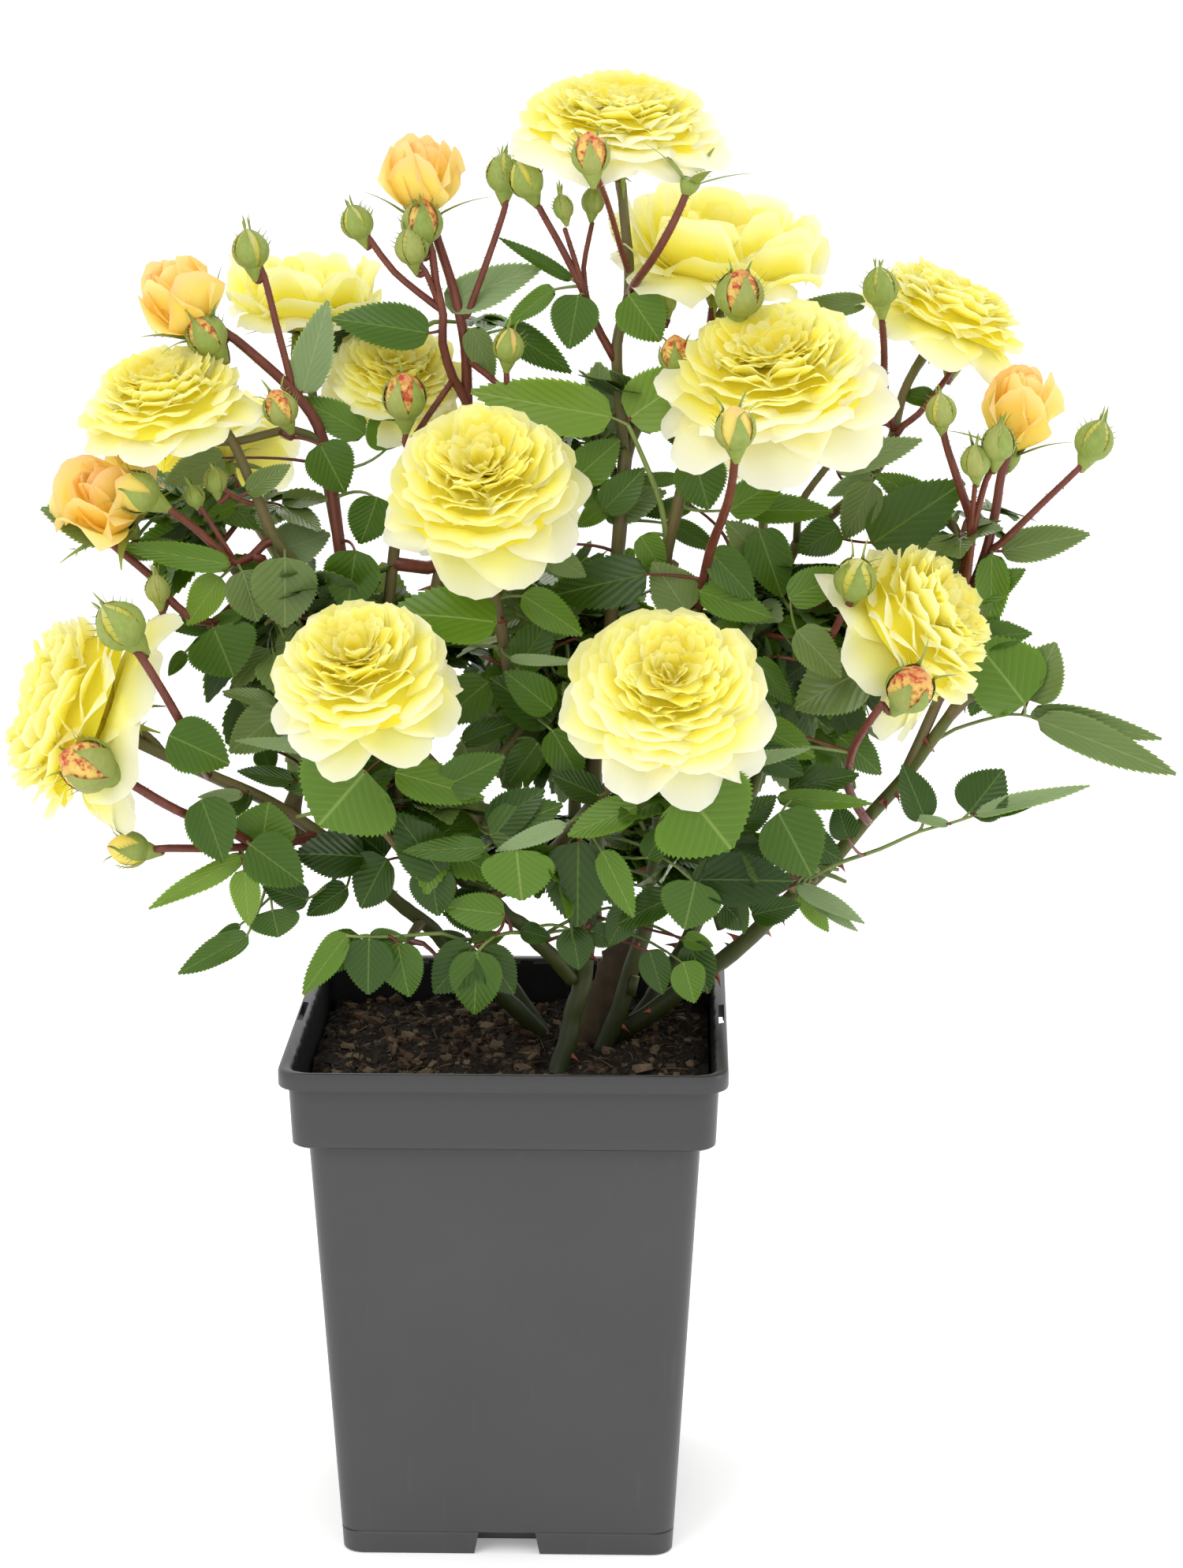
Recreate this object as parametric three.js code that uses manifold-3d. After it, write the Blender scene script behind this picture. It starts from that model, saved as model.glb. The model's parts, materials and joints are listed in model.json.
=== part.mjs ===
// A yellow shrub rose in a square nursery pot.
// Millimetres, +Z up, origin at the centre of the pot's flat underside.
// The pot and its compost are whole solids. Canes rise from the compost, upper
// stems carry the flower heads, and every mass of leaves or flower head is one
// uneven closed solid. Limbs stop where they run into a mass.

import * as THREE from 'three';
import { mergeVertices } from 'three/addons/utils/BufferGeometryUtils.js';
import Module from 'manifold-3d';

const wasm = await Module();
wasm.setup();

// ---------------------------------------------------------------- dimensions
const RIM_WIDTH = 200;        // outer width of the square rim
const RIM_HEIGHT = 237.5;     // rim above the ground
const LIP_HEIGHT = 8;         // rolled lip, outer face
const BAND_TOP = 191.5;       // width of the stacking band under the lip
const BAND_FOOT = 189;
const BAND_LEVEL = 201;       // underside of the band
const BODY_TOP = 175.7;       // width of the tapered body under the band
const BODY_FOOT = 152;
const WALL = 2;
const CORNER = 10;            // corner radius of the plan
const SLOT_LENGTH = 30;       // slots through the rim, left and right
const SLOT_WIDTH = 2.6;
const NOTCH_FOOT = 31;        // foot notches, one in the middle of each side
const NOTCH_HEAD = 26;
const NOTCH_HEIGHT = 11;
const NOTCH_DEPTH = 15;
const DRAIN_RADIUS = 4.5;
const DRAIN_OFFSET = 34;
const SOIL_LEVEL = 218.5;
const CLEARANCE = 0.4;        // gap left between touching solids
const CANE = 9.5;             // thickness of a main cane at the compost
const STEM = 5.4;             // thickness of an upper stem at its foot
const BLOOM = 92;             // width of an open flower

const PLASTIC = [0.100, 0.102, 0.106];
const COMPOST = [0.035, 0.022, 0.016];
const BARK = [0.13, 0.17, 0.05];
const OLD_WOOD = [0.10, 0.07, 0.045];
const RED_STEM = [0.20, 0.055, 0.035];
const LEAF = [0.035, 0.105, 0.022];
const PETAL = [0.90, 0.78, 0.10];
const APRICOT = [0.85, 0.42, 0.06];

// ------------------------------------------------------------------- helpers
const group = new THREE.Group();
group.name = 'potted_rose_bush';
const V = (x, y, z) => new THREE.Vector3(x, y, z);

function solid(geometry) {
  const g = geometry.clone();
  for (const key of Object.keys(g.attributes)) if (key !== 'position') g.deleteAttribute(key);
  const m = mergeVertices(g, 1e-3);
  const tri = [];
  const index = m.index.array;
  for (let i = 0; i < index.length; i += 3) {
    const [a, b, c] = [index[i], index[i + 1], index[i + 2]];
    if (a !== b && b !== c && c !== a) tri.push(a, b, c);
  }
  return new wasm.Manifold(new wasm.Mesh({
    numProp: 3,
    vertProperties: new Float32Array(m.attributes.position.array),
    triVerts: new Uint32Array(tri),
  }));
}

// Keeps only the largest closed body of a cut solid.
function largestBody(manifold) {
  const mesh = manifold.getMesh();
  const stride = mesh.numProp;
  const count = mesh.vertProperties.length / stride;
  const parent = Array.from({ length: count }, (_, i) => i);
  const root = (i) => { while (parent[i] !== i) { parent[i] = parent[parent[i]]; i = parent[i]; } return i; };
  const key = new Map();
  const at = (i) => V(mesh.vertProperties[i * stride], mesh.vertProperties[i * stride + 1], mesh.vertProperties[i * stride + 2]);
  for (let i = 0; i < count; i++) {
    const p = at(i);
    const k = `${p.x},${p.y},${p.z}`;
    if (key.has(k)) parent[root(i)] = root(key.get(k)); else key.set(k, i);
  }
  const t = mesh.triVerts;
  for (let i = 0; i < t.length; i += 3) {
    parent[root(t[i])] = root(t[i + 1]);
    parent[root(t[i + 1])] = root(t[i + 2]);
  }
  const volume = new Map();
  for (let i = 0; i < t.length; i += 3) {
    const r = root(t[i]);
    const v = at(t[i]).dot(at(t[i + 1]).cross(at(t[i + 2]))) / 6;
    volume.set(r, (volume.get(r) ?? 0) + v);
  }
  const best = [...volume.entries()].sort((a, b) => b[1] - a[1])[0][0];
  const position = [];
  const index = [];
  const renumber = new Map();
  for (let i = 0; i < t.length; i += 3) {
    if (root(t[i]) !== best) continue;
    for (let j = 0; j < 3; j++) {
      const v = t[i + j];
      if (!renumber.has(v)) {
        renumber.set(v, position.length / 3);
        const p = at(v);
        position.push(p.x, p.y, p.z);
      }
      index.push(renumber.get(v));
    }
  }
  const g = new THREE.BufferGeometry();
  g.setAttribute('position', new THREE.Float32BufferAttribute(position, 3));
  g.setIndex(index);
  return g;
}

const cutters = [];   // slightly grown copies of what already stands

function place(name, shape, grown, colour, roughness, ownCutters = cutters) {
  let result = shape;
  const box = shape.boundingBox();
  for (const c of ownCutters) {
    const b = c.box;
    let apart = false;
    for (let k = 0; k < 3; k++) if (b.min[k] > box.max[k] || b.max[k] < box.min[k]) apart = true;
    if (!apart) result = result.subtract(c.shape);
  }
  const geometry = largestBody(result);
  geometry.computeVertexNormals();
  const material = new THREE.MeshStandardMaterial({
    color: new THREE.Color(...colour), roughness, metalness: 0, flatShading: true,
  });
  const mesh = new THREE.Mesh(geometry, material);
  mesh.name = name;
  group.add(mesh);
  if (grown) cutters.push({ shape: grown, box: grown.boundingBox() });
  return mesh;
}

// A turned profile whose circles become squares with rounded corners.
const PLAN = 6;   // points for each quarter of the plan
function squareLathe(profile, corner) {
  const g = new THREE.LatheGeometry(profile.map(([r, z]) => new THREE.Vector2(r, z)), 4 * PLAN);
  const p = g.attributes.position;
  for (let i = 0; i < p.count; i++) {
    const [r, z] = profile[i % profile.length];
    const step = Math.floor(i / profile.length) % (4 * PLAN);
    const quarter = Math.floor(step / PLAN);
    const j = step % PLAN;
    const c = Math.min(corner, r * 0.7);
    const turn = quarter * Math.PI / 2;
    let x = r - c, y = r - c;
    if (j === PLAN - 1) { x = 0; y = r; } else {
      const a = j * Math.PI / 2 / (PLAN - 2);
      x += c * Math.cos(a);
      y += c * Math.sin(a);
    }
    p.setXYZ(i, x * Math.cos(turn) - y * Math.sin(turn), x * Math.sin(turn) + y * Math.cos(turn), z);
  }
  return g;
}

// A round limb that tapers along a curve, with flat ends.
function limbGeometry(curve, r0, r1, steps, sides) {
  const g = new THREE.CylinderGeometry(1, 1, 1, sides, steps);
  const frames = curve.computeFrenetFrames(steps, false);
  const p = g.attributes.position;
  for (let i = 0; i < p.count; i++) {
    const u = p.getY(i) + 0.5;
    const k = Math.round(u * steps);
    const r = r0 + (r1 - r0) * u;
    const v = curve.getPointAt(Math.min(1, Math.max(0, k / steps)));
    v.addScaledVector(frames.normals[k], p.getZ(i) * r);
    v.addScaledVector(frames.binormals[k], p.getX(i) * r);
    p.setXYZ(i, v.x, v.y, v.z);
  }
  return g;
}

const curveOf = (from, to, bow) => new THREE.QuadraticBezierCurve3(
  V(...from),
  V(...from).add(V(...to)).multiplyScalar(0.5).add(V(...bow).multiplyScalar(2)),
  V(...to),
);

function limb(name, from, to, bow, thick, thin, colour, steps = 6, sides = 7) {
  const curve = curveOf(from, to, bow);
  const shape = solid(limbGeometry(curve, thick / 2, thin / 2, steps, sides));
  const grown = solid(limbGeometry(curve, thick / 2 + CLEARANCE, thin / 2 + CLEARANCE, steps, sides));
  return place(name, shape, grown, colour, 0.7);
}

// An uneven lump: a ball pushed in and out by a few long waves, then squashed
// and turned so that its short axis points along `facing`.
function lumpGeometry(centre, radii, facing, seed, unevenness, detail, grow) {
  const g = new THREE.IcosahedronGeometry(1, detail);
  const p = g.attributes.position;
  const turn = new THREE.Quaternion().setFromUnitVectors(V(0, 0, 1), V(...facing).normalize());
  for (let i = 0; i < p.count; i++) {
    const v = V(p.getX(i), p.getY(i), p.getZ(i));
    const wave = Math.sin(3.1 * v.x + 1.7 * seed) * Math.cos(2.7 * v.y - 0.9 * seed)
      + 0.8 * Math.sin(4.3 * v.y + 2.3 * seed) * Math.cos(3.7 * v.z + 1.1 * seed)
      + 0.5 * Math.sin(6.1 * v.z - 1.3 * seed + 4.0 * v.x);
    const r = 1 + unevenness * wave;
    v.set(v.x * (radii[0] * r + grow), v.y * (radii[1] * r + grow), v.z * (radii[2] * r + grow));
    v.applyQuaternion(turn).add(V(...centre));
    p.setXYZ(i, v.x, v.y, v.z);
  }
  return g;
}

function lump(name, centre, radii, facing, seed, unevenness, detail, colour) {
  const shape = solid(lumpGeometry(centre, radii, facing, seed, unevenness, detail, 0));
  const grown = solid(lumpGeometry(centre, radii, facing, seed, unevenness, detail, CLEARANCE));
  return place(name, shape, grown, colour, 0.85);
}

// An open flower: a shallow cup whose face looks along `facing`.
function flower(name, centre, facing, seed, width = BLOOM, depth = 0.46, colour = PETAL) {
  lump(name, centre, [width / 2, width / 2, width * depth / 2], facing, seed, 0.05, 1, colour);
}

// ------------------------------------------------------------ pot and compost
const half = (w) => w / 2;
function notch(grow) {
  const s = new THREE.Shape();
  const drop = 3;
  s.moveTo(-half(NOTCH_FOOT) - grow, -drop);
  s.lineTo(half(NOTCH_FOOT) + grow, -drop);
  s.lineTo(half(NOTCH_HEAD) + grow, NOTCH_HEIGHT - 3 + grow);
  s.lineTo(half(NOTCH_HEAD) - 3, NOTCH_HEIGHT + grow);
  s.lineTo(-half(NOTCH_HEAD) + 3, NOTCH_HEIGHT + grow);
  s.lineTo(-half(NOTCH_HEAD) - grow, NOTCH_HEIGHT - 3 + grow);
  s.closePath();
  const g = new THREE.ExtrudeGeometry(s, { depth: NOTCH_DEPTH + 6 + grow, bevelEnabled: false });
  // stand the shape up: its width runs along X, its height along Z
  g.rotateX(Math.PI / 2);
  g.translate(0, half(BODY_FOOT) + 6, 0);
  return g;
}
function fourNotches(grow) {
  const all = [];
  for (let i = 0; i < 4; i++) {
    const g = notch(grow);
    g.rotateZ(i * Math.PI / 2);
    all.push(solid(g));
  }
  return all;
}

const outer = [
  [0, 0], [half(BODY_FOOT), 0], [half(BODY_TOP), BAND_LEVEL], [half(BAND_FOOT), BAND_LEVEL],
  [half(BAND_TOP), RIM_HEIGHT - LIP_HEIGHT], [half(RIM_WIDTH), RIM_HEIGHT - LIP_HEIGHT],
  [half(RIM_WIDTH), RIM_HEIGHT], [0, RIM_HEIGHT],
];
const taper = (z) => half(BODY_FOOT) + (half(BODY_TOP) - half(BODY_FOOT)) * z / BAND_LEVEL;
const FLOOR = 2.5;
const inner = (inset, top) => [
  [0, FLOOR + inset], [taper(FLOOR) - WALL - inset, FLOOR + inset],
  [taper(BAND_LEVEL) - WALL - inset, BAND_LEVEL + WALL + inset],
  [half(BAND_FOOT) - WALL - inset, BAND_LEVEL + WALL + 1.6 + inset],
  ...top,
];

let potShell = solid(squareLathe(outer, CORNER));
let cavity = solid(squareLathe(inner(0, [
  [half(BAND_TOP) - WALL, RIM_HEIGHT - LIP_HEIGHT - 0.5],
  [half(RIM_WIDTH) - 4, RIM_HEIGHT - 3], [half(RIM_WIDTH) - 4, RIM_HEIGHT + 2], [0, RIM_HEIGHT + 2],
]), CORNER - 1));
for (const n of fourNotches(WALL)) cavity = cavity.subtract(n);
potShell = potShell.subtract(cavity);
for (const n of fourNotches(0)) potShell = potShell.subtract(n);
for (const side of [-1, 1]) {
  const slot = new THREE.BoxGeometry(SLOT_WIDTH, SLOT_LENGTH, LIP_HEIGHT + 4);
  slot.translate(side * (half(RIM_WIDTH) - 1.1 - SLOT_WIDTH / 2), 0, RIM_HEIGHT - LIP_HEIGHT / 2);
  potShell = potShell.subtract(solid(slot));
}
for (const sx of [-1, 1]) for (const sy of [-1, 1]) {
  const drain = new THREE.CylinderGeometry(DRAIN_RADIUS, DRAIN_RADIUS, 8, 10);
  drain.rotateX(Math.PI / 2);
  drain.translate(sx * DRAIN_OFFSET, sy * DRAIN_OFFSET, 1);
  potShell = potShell.subtract(solid(drain));
}
place('pot', potShell, null, PLASTIC, 0.5, []);

// Compost: fills the pot to just below the rim, level under the canes and
// slightly heaped and hollowed further out.
const wallAt = (z) => half(BAND_FOOT) - WALL + (half(BAND_TOP) - half(BAND_FOOT)) * (z - BAND_LEVEL) / (RIM_HEIGHT - LIP_HEIGHT - BAND_LEVEL);
function soilGeometry(grow) {
  const rings = [1, 0.82, 0.64, 0.46, 0];
  const rim = wallAt(SOIL_LEVEL) - 0.3;
  const g = squareLathe(inner(0.3, rings.map((f) => [rim * f, SOIL_LEVEL])), CORNER - 1.2);
  const p = g.attributes.position;
  for (let i = 0; i < p.count; i++) {
    if (p.getZ(i) < SOIL_LEVEL - 1) continue;
    const [x, y] = [p.getX(i), p.getY(i)];
    const far = Math.max(0, Math.min(1, (Math.hypot(x - 28, y - 4) - 48) / 30));
    p.setZ(i, SOIL_LEVEL + grow + far * (1.1 * Math.sin(0.07 * x + 1) + 1.0 * Math.cos(0.09 * y - 0.05 * x)));
  }
  return g;
}
let compost = solid(soilGeometry(0));
let compostGrown = solid(soilGeometry(CLEARANCE));
for (const n of fourNotches(WALL + 0.3)) { compost = compost.subtract(n); }
place('compost', compost, compostGrown, COMPOST, 0.95, []);

// --------------------------------------------------------------- flower heads
// name, centre, facing, width as a share of a full bloom
const blooms = [
  ['bloom_top', [51, 0, 636], [0.06, -0.42, 0.90], 1.06, 0.44],
  ['bloom_upper_right', [103, 30, 596], [0.20, -0.10, 0.97], 0.98, 0.50],
  ['bloom_right_high', [196, 40, 556], [0.45, -0.25, 0.86], 0.86, 0.50],
  ['bloom_right_large', [120, -42, 534], [-0.12, -0.55, 0.82], 1.16, 0.54],
  ['bloom_centre', [-9, -66, 492], [-0.05, -0.72, 0.68], 0.99, 0.62],
  ['bloom_low_left', [-60, -108, 416], [-0.10, -0.66, 0.74], 0.90, 0.66],
  ['bloom_low_right', [72, -116, 412], [0.04, -0.82, 0.56], 1.00, 0.62],
  ['bloom_far_left', [-186, -40, 389], [-0.88, -0.22, 0.42], 1.12, 0.62],
  ['bloom_left_high', [-142, -20, 521], [-0.18, -0.45, 0.87], 0.88, 0.52],
  ['bloom_left_back', [-97, 50, 571], [0.10, 0.10, 0.98], 0.80, 0.48],
  ['bloom_far_right', [188, -38, 428], [0.72, -0.32, 0.60], 0.96, 0.60],
  ['bloom_back_high', [118, 132, 516], [0.20, 0.62, 0.75], 0.98, 0.56],
  ['bloom_back_left', [-150, 112, 492], [-0.50, 0.50, 0.70], 0.92, 0.56],
  ['bloom_back_right', [188, 116, 405], [0.62, 0.55, 0.55], 0.92, 0.58],
  ['bloom_back_centre', [-16, 158, 464], [-0.05, 0.74, 0.66], 0.98, 0.58],
  ['bloom_back_low', [78, 190, 372], [0.10, 0.85, 0.50], 0.92, 0.60],
];
blooms.forEach(([name, centre, facing, share, depth], i) =>
  flower(name, centre, facing, i + 1, BLOOM * share, depth));

// clusters of buds and opening flowers, where the stems end in several heads
const clusters = [
  ['buds_top_left', [-45, 5, 610], [34, 22, 27], APRICOT],
  ['buds_left', [-138, 4, 568], [30, 22, 26], APRICOT],
  ['buds_far_left', [-176, -16, 484], [22, 20, 24], APRICOT],
  ['buds_far_right', [230, -6, 522], [32, 22, 22], APRICOT],
  ['buds_left_low', [-170, -70, 345], [18, 20, 20], APRICOT],
];
clusters.forEach(([name, centre, radii, colour], i) =>
  lump(name, centre, radii, [0, 0, 1], i + 31, 0.07, 1, colour));

// The long cane that leans out to the right is bare for most of its length, so
// the masses beside it are cut round it.
const FOOT = SOIL_LEVEL - 6;
limb('cane_right_arch', [36, 22, FOOT], [200, -14, 383], [8, 1, -10], CANE, CANE * 0.55, BARK, 8, 8);

// -------------------------------------------------------------- leaf masses
// name, centre, radii, tilt of the short axis, fineness
const masses = [
  ['leaves_centre', [14, -6, 398], [56, 52, 56], [0, 0, 1], 2],
  ['leaves_front_left', [-66, -66, 338], [58, 46, 44], [0.1, -0.2, 1], 2],
  ['leaves_front_centre', [10, -84, 332], [40, 38, 42], [0, -0.3, 1], 1],
  ['leaves_front_right', [88, -74, 336], [52, 44, 44], [0.1, -0.2, 1], 2],
  ['leaves_mid_left', [-92, 6, 412], [54, 48, 50], [-0.2, 0, 1], 2],
  ['leaves_mid_right', [118, 4, 412], [58, 50, 54], [0.2, 0, 1], 2],
  ['leaves_back_left', [-74, 104, 376], [62, 54, 54], [-0.2, 0.2, 1], 2],
  ['leaves_back_centre', [24, 112, 384], [52, 50, 56], [0, 0.2, 1], 2],
  ['leaves_back_right', [118, 100, 366], [60, 54, 54], [0.2, 0.2, 1], 2],
  ['leaves_low_left', [-118, -40, 302], [50, 44, 30], [-0.3, -0.1, 1], 1],
  ['leaves_low_right', [140, -18, 302], [33, 36, 24], [-0.4, 0, 1], 1],
  ['leaves_low_back', [30, 92, 296], [70, 44, 28], [0, 0.2, 1], 1],
  ['leaves_right_tip', [266, -2, 368], [42, 24, 15], [0.25, 0, 1], 1],
  ['leaves_right_spray', [210, -26, 352], [44, 24, 15], [-0.15, 0, 1], 1],
  ['leaves_right_edge', [228, 22, 410], [32, 34, 26], [-0.1, 0, 1], 1],
  ['leaves_upper_right', [200, 12, 462], [50, 42, 25], [-0.1, 0, 1], 1],
  ['leaves_upper_left', [-134, 22, 468], [56, 44, 34], [0.1, 0, 1], 2],
  ['leaves_upper_centre', [38, 14, 508], [54, 44, 34], [0, 0, 1], 2],
  ['leaves_top_left', [-44, 36, 551], [50, 44, 27], [0, 0, 1], 1],
  ['leaves_soil_left', [-48, -30, 266], [44, 32, 20], [0.1, 0, 1], 1],
];
masses.forEach(([name, centre, radii, facing, detail], i) =>
  lump(name, centre, radii, facing, i + 51, 0.085, detail, LEAF));

// --------------------------------------------------------------------- limbs
// Every cane starts under the compost and is cut level with it.
const canes = [
  // name, foot, end, bow, thickness at the foot, at the end, colour
  ['cane_front', [21, -26, FOOT], [40, -20, 330], [5, 8, 0], CANE, CANE * 0.72, BARK],
  ['bough_left_front', [29, -17, 258], [-32, -52, 322], [1, 1, 4], CANE * 0.75, CANE * 0.6, BARK],
  ['cane_right', [40, 8, FOOT], [66, 4, 380], [12, 4, 0], CANE * 0.9, CANE * 0.6, BARK],
  ['cane_stub', [34, 26, FOOT], [57, 30, 268], [-1, 0, 1], CANE * 2.1, CANE * 1.7, OLD_WOOD],
  ['cane_left', [17, 31, FOOT], [-75, -10, 312], [0, 2, 3], CANE * 0.9, CANE * 0.6, BARK],
  ['cane_back_left', [14, 44, FOOT], [-70, 96, 350], [-2, 2, -8], CANE * 0.9, CANE * 0.62, BARK],
  ['cane_back_right', [52, 46, FOOT], [118, 96, 340], [4, 2, -8], CANE * 0.9, CANE * 0.62, BARK],
  ['cane_back', [30, 52, FOOT], [26, 108, 352], [0, 8, -4], CANE * 0.85, CANE * 0.62, BARK],
];
for (const [name, from, to, bow, thick, thin, colour] of canes) {
  limb(name, from, to, bow, thick, thin, colour, 7, 8);
}

// Upper stems run from one mass of leaves to the flower head they carry.
const stems = [
  ['stem_top', [50, 8, 500], [48, 4, 636], [-3, 0, 0], STEM, STEM * 0.62],
  ['stem_upper_right', [60, 10, 500], [100, 26, 590], [-6, 2, 2], STEM * 0.9, STEM * 0.6],
  ['stem_right_large', [66, -6, 440], [112, -34, 528], [-5, -4, 2], STEM * 1.15, STEM * 0.7],
  ['stem_right_high', [134, 14, 440], [190, 38, 550], [-3, 2, -2], STEM, STEM * 0.62],
  ['stem_far_right', [214, 6, 452], [232, -4, 512], [2, 0, 0], STEM, STEM * 0.62],
  ['stem_top_left', [-36, 20, 470], [-44, 8, 606], [10, 0, -6], STEM * 1.05, STEM * 0.7],
  ['stem_left', [-92, 10, 440], [-134, 4, 562], [8, 0, -6], STEM, STEM * 0.66],
  ['stem_far_left', [-60, -26, 352], [-176, -40, 388], [2, 0, 5], STEM * 1.1, STEM * 0.7],
];
for (const [name, from, to, bow, thick, thin] of stems) {
  limb(name, from, to, bow, thick, thin, RED_STEM, 5, 6);
}

export default group;
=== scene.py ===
import json
import math

import bmesh
import bpy
import numpy as np
from mathutils import Matrix, Vector


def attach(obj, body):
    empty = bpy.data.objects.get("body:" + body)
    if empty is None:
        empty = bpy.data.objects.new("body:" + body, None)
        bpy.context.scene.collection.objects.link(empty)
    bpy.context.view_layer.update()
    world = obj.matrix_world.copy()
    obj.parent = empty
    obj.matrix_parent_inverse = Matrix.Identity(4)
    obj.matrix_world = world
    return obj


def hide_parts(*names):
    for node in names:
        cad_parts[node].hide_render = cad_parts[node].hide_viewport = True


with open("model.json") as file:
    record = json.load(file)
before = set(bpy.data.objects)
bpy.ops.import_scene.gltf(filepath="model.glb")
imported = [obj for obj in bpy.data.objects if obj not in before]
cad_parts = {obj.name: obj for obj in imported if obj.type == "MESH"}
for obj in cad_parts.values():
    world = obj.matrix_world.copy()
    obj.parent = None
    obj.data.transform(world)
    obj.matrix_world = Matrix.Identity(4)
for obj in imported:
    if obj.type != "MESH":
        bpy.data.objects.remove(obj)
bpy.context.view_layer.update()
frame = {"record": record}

rng = np.random.default_rng(4127)
MM = 0.001
NODES = [s["node"] for s in frame["record"]["subparts"]]

# ------------------------------------------------------------------ camera
YAW, PITCH, DIST, FOCAL = math.radians(1.35), math.radians(12.74), 1.701, 4693.0
SHIFT_X, SHIFT_Z = 0.0371, 0.3465
W_PX, H_PX = 1500, 1989
BACK = np.array([math.sin(YAW) * math.cos(PITCH), -math.cos(YAW) * math.cos(PITCH), math.sin(PITCH)])
RIGHT = np.array([math.cos(YAW), math.sin(YAW), 0.0])
UP = np.cross(RIGHT, -BACK)
EYE = np.array([0, 0, SHIFT_Z]) + RIGHT * SHIFT_X + BACK * DIST


def at(u, v, y):
    """The point (mm) at depth y mm that is seen at pixel u, v of the 1500x1989 frame."""
    ray = -BACK + RIGHT * (u - W_PX / 2) / FOCAL + UP * (H_PX / 2 - v) / FOCAL
    t = (y * MM - EYE[1]) / ray[1]
    return (EYE + ray * t) / MM


def px_size(y):
    """Millimetres that one pixel covers at depth y."""
    return (y * MM - EYE[1]) / FOCAL / MM


# ------------------------------------------------------------------ materials
def linear(r, g, b):
    return tuple(((c / 255 + 0.055) / 1.055) ** 2.4 if c > 10 else c / 255 / 12.92 for c in (r, g, b)) + (1.0,)


def new_material(name, rough=0.5):
    m = bpy.data.materials.new(name)
    m.use_nodes = True
    b = m.node_tree.nodes["Principled BSDF"]
    b.inputs["Roughness"].default_value = rough
    return m, m.node_tree, b


def node(nt, kind, **values):
    n = nt.nodes.new(kind)
    for k, v in values.items():
        setattr(n, k, v)
    return n


def math_node(nt, op, a, b=None, c=None, clamp=False):
    n = nt.nodes.new("ShaderNodeMath")
    n.operation = op
    n.use_clamp = clamp
    for i, x in enumerate((a, b, c)):
        if x is None:
            continue
        if isinstance(x, (int, float)):
            n.inputs[i].default_value = x
        else:
            nt.links.new(x, n.inputs[i])
    return n.outputs[0]


def mix_colour(nt, fac, a, b):
    n = nt.nodes.new("ShaderNodeMix")
    n.data_type = "RGBA"
    for sock, x in ((n.inputs[0], fac), (n.inputs[6], a), (n.inputs[7], b)):
        if isinstance(x, (tuple, list)):
            sock.default_value = x
        elif isinstance(x, (int, float)):
            sock.default_value = x
        else:
            nt.links.new(x, sock)
    return n.outputs[2]


def bump(nt, b, height, strength, distance):
    n = nt.nodes.new("ShaderNodeBump")
    n.inputs["Strength"].default_value = strength
    n.inputs["Distance"].default_value = distance
    nt.links.new(height, n.inputs["Height"])
    nt.links.new(n.outputs[0], b.inputs["Normal"])


def noise(nt, vector, scale, detail=3.0, rough=0.55):
    n = nt.nodes.new("ShaderNodeTexNoise")
    n.inputs["Scale"].default_value = scale
    n.inputs["Detail"].default_value = detail
    n.inputs["Roughness"].default_value = rough
    if vector is not None:
        nt.links.new(vector, n.inputs["Vector"])
    return n.outputs["Fac"]


def object_coords(nt):
    return nt.nodes.new("ShaderNodeTexCoord").outputs["Object"]


def ramp(nt, fac, stops):
    n = nt.nodes.new("ShaderNodeValToRGB")
    cr = n.color_ramp
    while len(cr.elements) > 1:
        cr.elements.remove(cr.elements[-1])
    cr.elements[0].position, cr.elements[0].color = stops[0][0], stops[0][1]
    for p, c in stops[1:]:
        e = cr.elements.new(p)
        e.color = c
    nt.links.new(fac, n.inputs[0])
    return n.outputs[0]


def translucent_mix(nt, b, colour, share):
    """Lets a share of the light through a thin leaf or petal."""
    t = nt.nodes.new("ShaderNodeBsdfTranslucent")
    if isinstance(colour, tuple):
        t.inputs["Color"].default_value = colour
    else:
        nt.links.new(colour, t.inputs["Color"])
    m = nt.nodes.new("ShaderNodeMixShader")
    m.inputs[0].default_value = share
    out = nt.nodes["Material Output"]
    nt.links.new(b.outputs[0], m.inputs[1])
    nt.links.new(t.outputs[0], m.inputs[2])
    nt.links.new(m.outputs[0], out.inputs["Surface"])


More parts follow.
